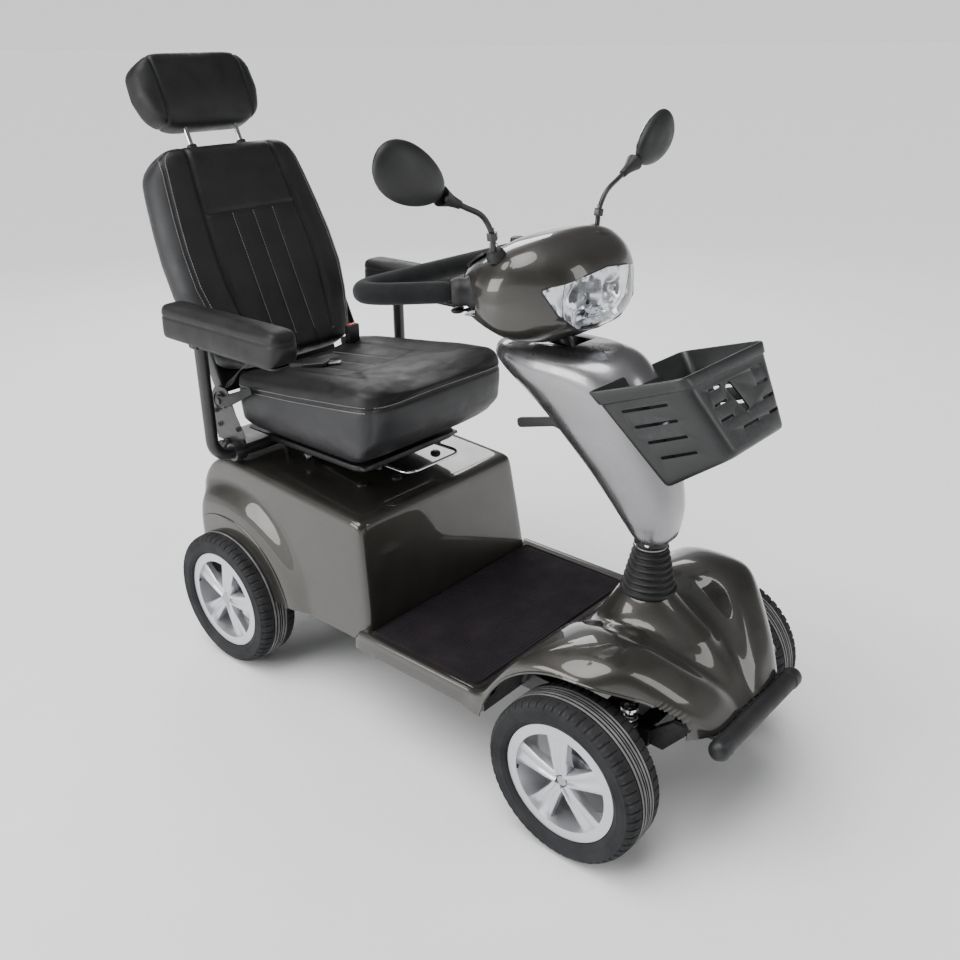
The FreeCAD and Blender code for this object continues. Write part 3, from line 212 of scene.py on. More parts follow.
GREY_STEEL = surface("grey_steel", (0.085, 0.088, 0.094), rough=0.42, metallic=0.5, tint=0.2, tint_scale=25.0,
                     grain=("noise", 500.0, 0.15, 0.0003), wear=0.4, wear_colour=(0.2, 0.2, 0.2))
CAST = surface("cast", (0.33, 0.33, 0.34), rough=0.6, metallic=0.8, tint=0.2, tint_scale=30.0,
               grain=("noise", 600.0, 0.5, 0.0006))
CHROME = surface("chrome", (0.78, 0.79, 0.8), rough=0.07, metallic=1.0, tint=0.03, rough_spread=0.1,
                 grain=("noise", 200.0, 0.02, 0.0002))
REFLECTOR = surface("reflector", (0.93, 0.93, 0.95), rough=0.2, metallic=1.0, tint=0.03, rough_spread=0.08,
                    grain=("noise", 40.0, 0.02, 0.0004))
PLASTIC = surface("black_plastic", (0.0085, 0.009, 0.0095), rough=0.46, tint=0.2, tint_scale=20.0,
                  grain=("noise", 1500.0, 0.25, 0.0002), wear=0.3, wear_colour=(0.06, 0.06, 0.065))
BASKET = surface("basket_plastic", (0.0095, 0.0105, 0.0105), rough=0.38, tint=0.15, tint_scale=12.0, coat=0.2,
                 coat_rough=0.25, grain=("noise", 1100.0, 0.18, 0.0002), wear=0.35,
                 wear_colour=(0.07, 0.075, 0.078))
RUBBER = surface("rubber", (0.014, 0.014, 0.015), rough=0.5, tint=0.2, tint_scale=30.0,
                 grain=("noise", 800.0, 0.15, 0.0002), specular=0.4, wear=0.3, wear_colour=(0.06, 0.06, 0.06))
MAT = surface("mat", (0.0125, 0.0092, 0.0122), rough=0.82, tint=0.28, tint_scale=16.0, specular=0.22,
              grain=("cells", 260.0, 0.3, 0.0004), sheen=0.05)
LENS = surface("lens", (0.96, 0.98, 1.0), rough=0.02, tint=0.0, alpha_glass=True, rough_spread=0.01,
               grain=("noise", 40.0, 0.02, 0.0005))
MIRROR = surface("mirror_glass", (0.75, 0.78, 0.8), rough=0.02, metallic=1.0, tint=0.01, rough_spread=0.02,
                 grain=("noise", 10.0, 0.005, 0.0002))
RED = surface("red_plastic", (0.62, 0.012, 0.008), rough=0.28, coat=0.3, tint=0.1, tint_scale=80.0,
              grain=("noise", 900.0, 0.08, 0.0002))
RED_LENS = surface("red_lens", (0.42, 0.01, 0.008), rough=0.16, coat=0.8, tint=0.1, tint_scale=60.0,
                   grain=("weave", 160.0, 0.3, 0.0008))
WEBBING = surface("webbing", (0.014, 0.014, 0.015), rough=0.7, tint=0.2, tint_scale=60.0, sheen=0.2,
                  grain=("weave", 260.0, 0.6, 0.0006))
BATTERY = surface("battery", (0.05, 0.052, 0.057), rough=0.6, tint=0.15, grain=("noise", 400.0, 0.2, 0.0003))


# ------------------------------------------------------------------ mesh tools
def to_row(points):
    """Millimetres from the rear axle to metres in the row frame."""
    p = np.asarray(points, float)
    return (p + np.array([AXLE_X, 0, 0])) * MM


def make(name, verts, faces, material, body, slot, replaced=(), sharp=35.0):
    """Mesh piece from millimetre vertices; it rides on a body."""
    mesh = bpy.data.meshes.new(name)
    mesh.from_pydata([tuple(v) for v in to_row(verts)], [], [tuple(int(i) for i in f) for f in faces])
    mesh.validate()
    shape = bmesh.new()
    shape.from_mesh(mesh)
    if all(edge.is_manifold for edge in shape.edges):
        bmesh.ops.recalc_face_normals(shape, faces=shape.faces)
        shape.to_mesh(mesh)
    shape.free()
    piece = bpy.data.objects.new(name, mesh)
    bpy.context.scene.collection.objects.link(piece)
    mesh.materials.append(material)
    mesh.shade_smooth()
    if sharp:
        mesh.set_sharp_from_angle(angle=math.radians(sharp))
    if body:
        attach(piece, body)
        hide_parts(*replaced)
    return piece


def points_of(piece):
    """Vertices of a piece in millimetres from the rear axle."""
    return np.array([v.co for v in piece.data.vertices]) / MM - np.array([AXLE_X, 0, 0])


def set_points(piece, points):
    """Move the vertices of a piece to millimetre points."""
    piece.data.vertices.foreach_set("co", to_row(points).ravel())
    piece.data.update()


def baked(piece):
    """Apply every modifier of a piece."""
    graph = bpy.context.evaluated_depsgraph_get()
    graph.update()
    mesh = bpy.data.meshes.new_from_object(piece.evaluated_get(graph))
    piece.modifiers.clear()
    piece.data = mesh
    return piece


def subdivided(piece, levels=1):
    """One Catmull-Clark pass or more, applied."""
    modifier = piece.modifiers.new("smooth", "SUBSURF")
    modifier.levels = levels
    modifier.render_levels = levels
    return baked(piece)


def relaxed(piece, times, factor=0.5):
    """Even out a wrapped surface."""
    modifier = piece.modifiers.new("even", "SMOOTH")
    modifier.iterations = times
    modifier.factor = factor
    return baked(piece)


def thickened(piece, wall, offset=-1.0):
    """Give a shell its wall, in mm."""
    modifier = piece.modifiers.new("wall", "SOLIDIFY")
    modifier.thickness = wall * MM
    modifier.offset = offset
    modifier.use_even_offset = False
    return baked(piece)


def bevelled(piece, width, segments=2, angle=30.0):
    """Round the sharp edges of a piece, in mm."""
    modifier = piece.modifiers.new("edges", "BEVEL")
    modifier.width = width * MM
    modifier.segments = segments
    modifier.limit_method = "ANGLE"
    modifier.angle_limit = math.radians(angle)
    baked(piece)
    piece.data.shade_smooth()
    piece.data.set_sharp_from_angle(angle=math.radians(50))
    return piece


def carved(piece, cutters, operation="DIFFERENCE", sharp=35.0, folded=False):
    """Boolean with closed cutter pieces, which are then removed."""
    for cutter in cutters:
        modifier = piece.modifiers.new("cut", "BOOLEAN")
        modifier.operation = operation
        modifier.solver = "EXACT"
        modifier.use_self = folded
        modifier.object = cutter
    baked(piece)
    for cutter in cutters:
        bpy.data.objects.remove(cutter)
    piece.data.shade_smooth()
    piece.data.set_sharp_from_angle(angle=math.radians(sharp))
    return piece


def cutter(verts, faces):
    """Closed helper mesh that belongs to no body."""
    return make("cutter", verts, faces, BLACK_STEEL, None, None, sharp=0)


def bore(x, y, radius, low, high, segments=24):
    """Cutter for an upright round hole."""
    return cutter(*turned([(0.01, low), (radius, low), (radius, high), (0.01, high)], segments, at=(x, y, 0)))


def merged(parts):
    """One (verts, faces) from several."""
    verts, faces, start = [], [], 0
    for part_verts, part_faces in parts:
        verts.append(np.asarray(part_verts, float))
        faces.extend([tuple(i + start for i in f) for f in part_faces])
        start += len(part_verts)
    return np.concatenate(verts), faces


def turned(profile, segments=64, closed=False, axis="Z", at=(0, 0, 0)):
    """Lathe (radius, height) points about an axis through a point."""
    profile = np.asarray(profile, float)
    count = len(profile)
    angles = np.linspace(0, 2 * math.pi, segments, endpoint=False)
    ring = np.stack([np.cos(angles), np.sin(angles)], 1)
    verts = np.zeros((segments * count, 3))
    for k, (radius, height) in enumerate(profile):
        level = verts[k::count]
        level[:, :2] = ring * radius
        level[:, 2] = height
    faces = []
    for s in range(segments):
        nxt = (s + 1) % segments
        for k in range(count if closed else count - 1):
            k2 = (k + 1) % count
            faces.append((s * count + k, nxt * count + k, nxt * count + k2, s * count + k2))
    if axis == "Y":
        verts = verts[:, [0, 2, 1]] * np.array([1, 1, -1])
    if axis == "X":
        verts = verts[:, [2, 1, 0]] * np.array([1, 1, -1])
    return verts + np.asarray(at, float), faces


def swept(points, radius, sides=16, closed=False, caps=True, flat=1.0, up=(0, 0, 1)):
    """Tube along points; radius may vary along it, and flat squeezes it along up."""
    path = np.asarray(points, float)
    count = len(path)
    radii = np.broadcast_to(np.asarray(radius, float), (count,))
    if closed:
        tangents = np.roll(path, -1, 0) - np.roll(path, 1, 0)
    else:
        tangents = np.gradient(path, axis=0)
    tangents /= np.linalg.norm(tangents, axis=1)[:, None]
    guide = np.asarray(up, float)
    verts = []
    for i in range(count):
        side = np.cross(tangents[i], guide)
        side /= np.linalg.norm(side)
        top = np.cross(side, tangents[i])
        guide = top
        for a in np.linspace(0, 2 * math.pi, sides, endpoint=False):
            verts.append(path[i] + (side * math.cos(a) + top * math.sin(a) * flat) * radii[i])
    faces = []
    for i in range(count if closed else count - 1):
        j = (i + 1) % count
        for a in range(sides):
            b = (a + 1) % sides
            faces.append((i * sides + a, i * sides + b, j * sides + b, j * sides + a))
    if caps and not closed:
        faces.append(tuple(range(sides))[::-1])
        faces.append(tuple((count - 1) * sides + a for a in range(sides)))
    return np.array(verts), faces


def smooth_path(points, count, closed=False):
    """Catmull-Rom line through points."""
    p = np.asarray(points, float)
    if closed:
        p = np.concatenate([p[-1:], p, p[:2]])
    else:
        p = np.concatenate([2 * p[:1] - p[1:2], p, 2 * p[-1:] - p[-2:-1]])
    spans = len(p) - 3
    result = []
    for t in np.linspace(0, spans, count, endpoint=not closed):
        i = min(int(t), spans - 1)
        u = t - i
        a, b, c, d = p[i:i + 4]
        result.append(0.5 * (2 * b + (c - a) * u + (2 * a - 5 * b + 4 * c - d) * u * u
                             + (3 * b - a - 3 * c + d) * u ** 3))
    return np.array(result)


def slab(outline, low, high, normal="Z"):
    """Prism of a flat outline; its plane's normal is X, Y or Z."""
    count = len(outline)
    verts = []
    for level in (low, high):
        for a, b in outline:
            verts.append({"Z": (a, b, level), "Y": (a, level, b), "X": (level, a, b)}[normal])
    faces = [tuple(range(count))[::-1], tuple(range(count, 2 * count))]
    for i in range(count):
        j = (i + 1) % count
        faces.append((i, j, count + j, count + i))
    return np.array(verts, float), faces


def rounded_outline(corners, steps=6):
    """Outline with a rounded corner for each (a, b, radius)."""
    result = []
    count = len(corners)
    for i, (a, b, radius) in enumerate(corners):
        here = np.array([a, b], float)
        before = np.array(corners[i - 1][:2], float) - here
        after = np.array(corners[(i + 1) % count][:2], float) - here
        len_in, len_out = np.linalg.norm(before), np.linalg.norm(after)
        before /= len_in
        after /= len_out
        half = math.acos(max(-1, min(1, float(before @ after)))) / 2
        reach = min(radius / math.tan(half), len_in * 0.49, len_out * 0.49) if radius else 0
        for s in np.linspace(0, 1, steps if radius else 1):
            start, end = here + before * reach, here + after * reach
            result.append((1 - s) ** 2 * start + 2 * s * (1 - s) * here + s * s * end)
    return [tuple(p) for p in result]


def ball(centre, radii, rows=12, sides=20):
    """Ellipsoid."""
    profile = [(math.sin(a), -math.cos(a)) for a in np.linspace(0.001, math.pi - 0.001, rows)]
    verts, faces = turned(profile, sides)
    return verts * np.asarray(radii, float) + np.asarray(centre, float), faces


def moved(part, shift=(0, 0, 0), turn=None):
    """Part turned by a matrix and then moved."""
    verts = np.asarray(part[0], float)
    if turn is not None:
        verts = verts @ np.array(turn).T
    return verts + np.asarray(shift, float), part[1]


def rotation(axis, degrees):
    """3x3 rotation matrix."""
    return np.array(Matrix.Rotation(math.radians(degrees), 3, axis))


def flipped(part):
    """Part on the other side of the middle plane."""
    verts = np.asarray(part[0], float) * np.array([1, -1, 1])
    return verts, [tuple(f)[::-1] for f in part[1]]


def sided(part, side):
    """A part modelled on the left, for either side."""
    return part if side > 0 else flipped(part)


# ------------------------------------------------------------------ fields
def plane(point, normal):
    """Half space as (point, unit normal)."""
    normal = np.asarray(normal, float)
    return np.asarray(point, float), normal / np.linalg.norm(normal)


def chain(points, axes, centre):
    """Planes through the runs of a convex chain drawn in two axes, facing away from a centre."""
    planes = []
    for (a0, b0), (a1, b1) in zip(points, points[1:]):
        normal = np.zeros(3)
        normal[axes[0]], normal[axes[1]] = b1 - b0, -(a1 - a0)
        at = np.zeros(3)
        at[axes[0]], at[axes[1]] = a0, b0
        middle = np.zeros(3)
        middle[axes[0]], middle[axes[1]] = centre
        if (middle - at) @ normal > 0:
            normal = -normal
        planes.append(plane(at, normal))
    return planes


def convex(p, planes, k):
    """Smooth intersection of half spaces; k sets how round its edges are."""
    d = np.stack([(p - at) @ normal for at, normal in planes])
    top = d.max(0)
    return top + k * np.log(np.exp((d - top) / k).sum(0))


def joined(a, b, k):
    """Smooth union of two fields."""
    h = np.clip(0.5 + 0.5 * (b - a) / k, 0, 1)
    return b * (1 - h) + a * h - k * h * (1 - h)


def projected(field, outer, inner, steps=56, rounds=14):
    """Where each way from an outer to an inner point first meets the field's surface."""
    span = inner - outer
    low = np.zeros(len(outer))
    high = np.ones(len(outer))
    open_ways = np.ones(len(outer), bool)
    for step in range(1, steps + 1):
        t = step / steps
        inside = (field(outer + span * t) < 0) & open_ways
        high[inside] = t
        low[inside] = t - 1 / steps
        open_ways &= ~inside
        if not open_ways.any():
            break
    for _ in range(rounds):
        middle = (low + high) / 2
        inside = field(outer + span * middle[:, None]) < 0
        high = np.where(inside, middle, high)
        low = np.where(inside, low, middle)
    return outer + span * high[:, None]


def box_lattice(counts, closed):
    """Vertices (0 to 1) and quads over a box; the underside is left out of an open one."""
    nx, ny, nz = counts
    index, points, faces = {}, [], []

    def vertex(i, j, k):
        if (i, j, k) not in index:
            index[(i, j, k)] = len(points)
            points.append((i / nx, j / ny, k / nz))
        return index[(i, j, k)]

    for i in range(nx):
        for j in range(ny):
            faces.append([vertex(i, j, nz), vertex(i + 1, j, nz), vertex(i + 1, j + 1, nz), vertex(i, j + 1, nz)])
            if closed:
                faces.append([vertex(i, j + 1, 0), vertex(i + 1, j + 1, 0), vertex(i + 1, j, 0), vertex(i, j, 0)])
    for i in range(nx):
        for k in range(nz):
            faces.append([vertex(i, 0, k), vertex(i + 1, 0, k), vertex(i + 1, 0, k + 1), vertex(i, 0, k + 1)])
            faces.append([vertex(i, ny, k + 1), vertex(i + 1, ny, k + 1), vertex(i + 1, ny, k), vertex(i, ny, k)])
    for j in range(ny):
        for k in range(nz):
            faces.append([vertex(0, j, k + 1), vertex(0, j + 1, k + 1), vertex(0, j + 1, k), vertex(0, j, k)])
            faces.append([vertex(nx, j, k), vertex(nx, j + 1, k), vertex(nx, j + 1, k + 1), vertex(nx, j, k + 1)])
    return np.array(points), faces


def wrapped(field, low, high, core_low, core_high, counts, closed=False):
    """Quads wrapped onto a field from a box around it towards a core box inside it."""
    unit, faces = box_lattice(counts, closed)
    low, high = np.asarray(low, float), np.asarray(high, float)
    outer = low + (high - low) * unit
    inner = np.clip(outer, core_low, core_high)
    return projected(field, outer, inner), faces


def drum(x, z, radius, y0, y1, segments=160):
    """Closed cylinder along Y."""
    return turned([(0.01, y0), (radius, y0), (radius, y1), (0.01, y1)], segments, axis="Y", at=(x, 0, z))


def block(low, high):
    """Closed box."""
    (x0, y0, z0), (x1, y1, z1) = low, high
    return slab([(x0, y0), (x1, y0), (x1, y1), (x0, y1)], z0, z1)


# ------------------------------------------------------------------ body covers
def rear_field(p):
    """Battery cover with a flared arch over each rear wheel."""
    q = p * np.array([1, 1, 1.0])
    q[:, 1] = np.abs(q[:, 1])
    planes = chain([(-178, 205), (-164, 330), (-138, 412), (-96, 478), (-40, 508), (431, 478), (468, 241),
                    (473, 190)], (0, 2), (130, 330))
    planes += [plane((431, 250, 475), (0, 0.9977, 0.068)), plane((-150, 236, 300), (-0.66, 0.75, 0)),
               plane((-180, 195, 300), (-0.93, 0.36, 0))]
    body = convex(q, planes, 7.0)
    rho = np.hypot(q[:, 0], q[:, 2] - HUB_Z)
    flare = np.stack([rho, q[:, 1], q[:, 0]], 1)
    flare_planes = [plane((0, 284, 0), (0, 1, 0)), plane((232, 284, 0), (0.42, 0.9, 0)),
                    plane((268, 262, 0), (0.80, 0.60, 0)), plane((296, 222, 0), (0.97, 0.2, 0)),
                    plane((0, 0, -108), (0, 0, -1))]
    arch = convex(flare, flare_planes, 6.0)
    return joined(body, arch, 15.0)


def arch_lip(field, x, radius, start, end, inner_y, thickness):
    """Rolled edge that follows an arch opening on the left side."""
    angles = np.radians(np.linspace(start, end, 90))
    outer = np.stack([x + radius * np.cos(angles), np.full(90, 420.0), HUB_Z + radius * np.sin(angles)], 1)
    inner = outer.copy()
    inner[:, 1] = inner_y
    return swept(projected(field, outer, inner, 90), thickness, 10)


def wheel_well(x, radius, y0, y1, start, end, disc=True):
    """Black liner inside an arch on the left side."""
    angles = np.radians(np.linspace(start, end, 60))
    rows = [(radius, y1), (radius, y0 + 10), (radius - 3, y0 + 3), (radius - 10, y0)]
    if disc:
        rows.append((60, y0))
    verts, faces = [], []
    for a in angles:
        for r, y in rows:
            verts.append((x + r * math.cos(a), y, HUB_Z + r * math.sin(a)))
    n = len(rows)
    for i in range(len(angles) - 1):
        for k in range(n - 1):
            faces.append((i * n + k, i * n + k + 1, (i + 1) * n + k + 1, (i + 1) * n + k))
    return np.array(verts), faces


def arched(piece, x, radius, inner_y):
    """Wheel arches opened in a thin skin, with the cut edge laid on the arch."""
    skin = bmesh.new()
    skin.from_mesh(piece.data)
    spot = lambda co: (co.x / MM - AXLE_X - x, abs(co.y) / MM, co.z / MM - HUB_Z)
    inside = []
    for face in skin.faces:
        dx, y, dz = spot(face.calc_center_median())
        if y > inner_y and math.hypot(dx, dz) < radius:
            inside.append(face)
    bmesh.ops.delete(skin, geom=inside, context="FACES")
    for vert in skin.verts:
        dx, y, dz = spot(vert.co)
        reach = math.hypot(dx, dz)
        if vert.is_boundary and y > inner_y and abs(reach - radius) < 8:
            vert.co.x += dx * (radius / reach - 1) * MM
            vert.co.z += dz * (radius / reach - 1) * MM
    skin.to_mesh(piece.data)
    skin.free()
    return piece


def body_covers():
    """Rear cover over the battery and transaxle, with its arches, seams and knobs."""
    verts, faces = wrapped(rear_field, (-230, -380, 205), (510, 380, 560), (-40, -140, 205), (340, 140, 390),
                           (150, 110, 90))
    cover = thickened(relaxed(make("rear_cover_shell", verts, faces, BODY_PAINT, "chassis", "body_paint",
                                   ["rear_cover"]), 4), 3.2)
    cutters = [cutter(*drum(0, HUB_Z, 206, s * 214, s * 345)) for s in (-1, 1)]
    cutters.append(bore(135, 0, 31, 440, 540, 48))
    carved(cover, cutters)
    for name, side in SIDES.items():
        lip = arch_lip(rear_field, 0, 206.5, 11, 112, 200, 2.6)
        make(f"rear_arch_lip_{name}", *sided(lip, side), BODY_PAINT, "chassis", "body_paint")
        well = wheel_well(0, 208.5, 216, 262, 11, 112)
        make(f"rear_wheel_well_{name}", *sided(well, side), PLASTIC, "chassis", "black_plastic")
    # joint lines of the battery cover
    seams = []
    for x in (404, -60):
        ys = np.linspace(-206, 206, 60)
        outer = np.stack([np.full(60, x), ys, np.full(60, 560.0)], 1)
        inner = outer.copy()
        inner[:, 2] = 400
        seams.append(swept(projected(rear_field, outer, inner) - np.array([0, 0, 0.5]), 0.9, 6))
    make("rear_cover_seams", *merged(seams), PLASTIC, "chassis", "black_plastic")

    plugs = []
    for x, y in ((300, -120), (300, 120), (330, -40)):
        z = projected(rear_field, np.array([[x, y, 560.0]]), np.array([[x, y, 400.0]]))[0][2]
        plugs.append(turned([(0.01, z + 7), (8, z + 6.5), (11.5, z + 4), (12.5, z), (12.5, z - 2)], 32,
                            at=(x, y, 0)))
    make("rear_cover_knobs", *merged(plugs), PLASTIC, "chassis", "black_plastic")


def front_field(p):
    """Deck with sills, bonnet, wheel humps, nose and steering cone."""
    q = p.copy()
    q[:, 1] = np.abs(q[:, 1])
    plan = [plane((0, 288, 0), (0, 1, 0)), plane((1035, 287, 0), (0.5, 0.87, 0)),
            plane((1082, 252, 0), (0.68, 0.73, 0)), plane((1130, 212, 0), (0.72, 0.69, 0)),
            plane((1190, 120, 262), (0.94, 0.0, 0.34))]
    deck = convex(q, [plane((0, 0, 236), (0, 0, 1)), plane((0, 288, 0), (0, 1, 0)),
                      plane((430, 0, 0), (-1, 0, 0)), plane((1060, 0, 0), (1, 0, 0))], 5.5)
    sill = np.hypot(q[:, 1] - 279, q[:, 2] - 236) - 8.5
    sill = np.maximum(sill, np.maximum(446 - q[:, 0], q[:, 0] - 860))
    deck = joined(deck, sill, 7.0)
    hood = convex(q, chain([(770, 226), (842, 318), (898, 366), (1000, 388), (1082, 366), (1148, 326), (1196, 288),
                            (1210, 250)], (0, 2), (1000, 220)) + plan, 10.0)
    hump_planes = chain([(790, 226), (824, 300), (868, 364), (925, 402), (985, 420), (1050, 416), (1104, 388),
                         (1150, 340), (1204, 262)], (0, 2), (1000, 300))
    hump_planes += plan[:4]
    hump_planes += [plane((1000, 222, 423), (0, 0.42, 1)), plane((1000, 268, 398), (0, 0.85, 0.6)),
                    plane((1000, 160, 418), (0, -0.5, 0.86)), plane((1000, 132, 396), (0, -0.8, 0.6))]
    hump = convex(q, hump_planes, 9.0)
    shape = joined(hood, hump, 30.0)
    shape = joined(shape, deck, 20.0)
    ahead = q[:, 0] - 971
    drawn_out = 1.0 + 0.55 * np.clip((420 - q[:, 2]) / 60, 0, 1)
    dist = np.hypot(np.where(ahead > 0, ahead / drawn_out, ahead), q[:, 1])
    cone = convex(np.stack([dist, q[:, 2], np.zeros(len(q))], 1),
                  [plane((49, 428, 0), (0.86, 0.51, 0)), plane((0, 428, 0), (0, 1, 0))], 3.0)
    return joined(shape, cone, 9.0)


def bonnet():
    """Front cover with its arches and plugs, the bumper and the mat."""
    verts, faces = wrapped(front_field, (425, -330, 200), (1240, 330, 480), (470, -210, 200), (1010, 210, 212),
                           (176, 110, 60))
    skin = relaxed(make("front_cover_shell", verts, faces, BODY_PAINT, "chassis", "body_paint",
                        ["front_cover"]), 5)
    shell = thickened(arched(skin, FRONT_X, 209.5, 166), 3.2)
    carved(shell, [cutter(*block((1040, -260, 120), (1300, 260, 259))), bore(COLUMN_X, 0, 33, 300, 460, 48)],
           folded=True)
    for name, side in SIDES.items():
        lip = arch_lip(front_field, FRONT_X, 208.5, 54, 166, 170, 2.8)
        make(f"front_arch_lip_{name}", *sided(lip, side), BODY_PAINT, "chassis", "body_paint")
        well = wheel_well(FRONT_X, 211, 168, 262, 84, 166, disc=False)
        make(f"front_wheel_well_{name}", *sided(well, side), PLASTIC, "chassis", "black_plastic")
        z = projected(front_field, np.array([[935.0, 126.0, 480.0]]), np.array([[935.0, 126.0, 250.0]]))[0][2]
        cap = turned([(0.01, 6.5), (10, 6), (16, 4.5), (19, 1.5), (20, -4)], 40)
        cap = moved(cap, (935, 126, z), rotation("X", 20) @ rotation("Y", -16))
        make(f"bonnet_plug_{name}", *sided(cap, side), PLASTIC, "chassis", "black_plastic")
    bumper()
    mat()


def bumper():
    """Rubber-sleeved bumper tube and the ribbed panel behind it."""
    tube = swept([(1224, y, 250) for y in np.linspace(-140, 140, 24)], 18.6, 32)
    make("bumper_sleeve", *tube, RUBBER, "chassis", "frame_steel", ["bumper_tube"])
    for name, side in SIDES.items():
        cap = turned([(0.01, 159), (9, 158.5), (15, 156), (18.4, 151), (20, 146), (20, 128), (18.4, 127)], 36,
                     axis="Y", at=(1224, 0, 250))
        make(f"bumper_cap_{name}", *sided(cap, side), PLASTIC, "chassis", "black_plastic")
    outline = rounded_outline([(1120, -128, 6), (1214, -122, 10), (1214, 122, 10), (1120, 128, 6)])
    bevelled(make("bumper_panel", *slab(outline, 246.5, 256), PLASTIC, "chassis", "frame_steel"), 1.5)
    ribs = [block((1150, y - 1.5, 256), (1208, y + 1.5, 258.5)) for y in range(-110, 111, 22)]
    bevelled(make("bumper_panel_ribs", *merged(ribs), PLASTIC, "chassis", "frame_steel"), 0.8)


def mat():
    """Rubber mat with a raised border and fine cross ribs."""
    outline = rounded_outline([(466, -264, 8), (762, -264, 24), (762, 264, 24), (466, 264, 8)])
    bevelled(make("mat_sheet", *slab(outline, 236.2, 239.4), MAT, "chassis", "mat_rubber", ["floor_mat"]), 1.2)
    ribs = [block((x - 1.2, -252, 239.0), (x + 1.2, 252, 240.1)) for x in range(476, 754, 7)]
    make("mat_ribs", *merged(ribs), MAT, "chassis", "mat_rubber")
    edge = [(a, b, 239.6) for a, b in rounded_outline([(470, -260, 8), (758, -260, 22), (758, 260, 22),
                                                       (470, 260, 8)], 10)]
    make("mat_border", *swept(edge, 2.2, 10, closed=True), MAT, "chassis", "mat_rubber")


def bellows():
    """Rubber boot with rounded folds between the cone and the column."""
    outer = []
    for t in np.linspace(0, 1, 97):
        z = 427 + t * 88
        outer.append((51.0 - 20 * t + 3.2 * math.cos(t * 14 * math.pi), z))
    profile = [(53, 423), (55, 426), (54, 430)] + outer[2:] + [(27, 517), (18, 517), (17, 512)]
    make("bellows_boot", *turned(profile, 72, at=(COLUMN_X, 0, 0)), RUBBER, "chassis", "bellows_rubber",
         ["steering_bellows"], sharp=60)
    clamp = turned([(29, 512), (31.4, 513), (31.4, 518), (29, 519)], 48, at=(COLUMN_X, 0, 0))
    make("bellows_clamp", *clamp, STEEL, "chassis", "bare_steel")


# ------------------------------------------------------------------ tiller
TILLER_STATIONS = np.array([
    # rear x, rear z, front x, front z, half width, squareness
    (972, 533, 1002, 533, 26, 2.3), (950, 538, 1018, 539, 45, 2.6), (924, 564, 1025, 568, 51, 2.9),
    (886, 604, 1028, 608, 57, 2.8),
    (838, 654, 1018, 664, 66, 2.7), (786, 702, 1005, 712, 74, 2.7), (735, 746, 990, 754, 80, 2.7),
    (682, 786, 974, 792, 87, 2.6), (634, 818, 956, 824, 92, 2.6), (612, 842, 938, 850, 91, 2.5),
    (628, 864, 914, 869, 80, 2.5), (690, 877, 880, 880, 56, 2.4),
])


TILLER_ROWS, TILLER_AROUND = 120, 112


def tiller_skin(around=TILLER_AROUND, along=TILLER_ROWS):
    """Closed casing that leans back from the column to the head, lofted through its stations."""
    rows = smooth_path(TILLER_STATIONS[:, :3], along)
    more = smooth_path(TILLER_STATIONS[:, 3:], along)
    verts = []
    for (x0, z0, x1), (z1, half, power) in zip(rows, more):
        rear, front = np.array([x0, z0]), np.array([x1, z1])
        middle, reach = (rear + front) / 2, (front - rear) / 2
        for a in np.linspace(0, 2 * math.pi, around, endpoint=False):
            c, q = math.cos(a), math.sin(a)
            u = math.copysign(abs(c) ** (2 / power), c)
            y = math.copysign(abs(q) ** (2 / power), q) * half
            y *= 1 - 0.16 * max(0.0, -u) ** 2
            x, z = middle + reach * u
            verts.append((x, y, z))
    faces = []
    for i in range(along - 1):
        for a in range(around):
            b = (a + 1) % around
            faces.append((i * around + a, i * around + b, (i + 1) * around + b, (i + 1) * around + a))
    faces.append(tuple(range(around))[::-1])
    faces.append(tuple((along - 1) * around + a for a in range(around)))
    return np.array(verts), faces


def tiller():
    """Tiller casing with its seams, hem, collar and column bolt."""
    verts, faces = tiller_skin()
    shell = make("tiller_shell", verts, faces, TILLER_PAINT, "tiller", "tiller_paint", ["tiller_cover"])
    slot = rounded_outline([(700, 684, 6), (792, 684, 6), (792, 736, 6), (700, 736, 6)])
    carved(shell, [cutter(*slab([(x, y) for x, y in slot], -9, 9, "Y")),
                   cutter(*block((690, -34, 820), (800, 34, 900)))])
    # the joint between the two half shells
    line = verts.reshape(TILLER_ROWS, TILLER_AROUND, 3)[4:112, 41] - np.array([0, 0.4, 0])
    for name, side in SIDES.items():
        make(f"tiller_seam_{name}", *sided(swept(line, 0.8, 6), side), PLASTIC, "tiller", "black_plastic")
    foot = []
    for k, (drop, grow) in enumerate(((0, 0), (6, 1.2), (6, -2.5))):
        ring = rounded_outline([(960 - grow, -43 - grow, 10), (1013 + grow, -43 - grow, 18),
                                (1013 + grow, 43 + grow, 18), (960 - grow, 43 + grow, 10)], 8)
        foot.append([(x, y, 541 + drop - 1) for x, y in ring])
    count = len(foot[0])
    verts = [v for ring in foot for v in ring]
    faces = [(k * count + i, k * count + (i + 1) % count, (k + 1) * count + (i + 1) % count, (k + 1) * count + i)
             for k in range(2) for i in range(count)]
    make("tiller_hem", np.array(verts), faces, PLASTIC, "tiller", "black_plastic")
    collar = turned([(30, 520), (33, 524), (33, 538), (28, 545)], 48, at=(COLUMN_X, 0, 0))
    make("column_collar", *collar, PLASTIC, "steering_column", "black_plastic")
    bolt = turned([(0.01, -33), (6, -33), (7, -31.5), (7, -27), (0.01, -27)], 6, axis="Y", at=(985, 0, 532))
    make("column_bolt", *bolt, CHROME, "steering_column", "chrome")


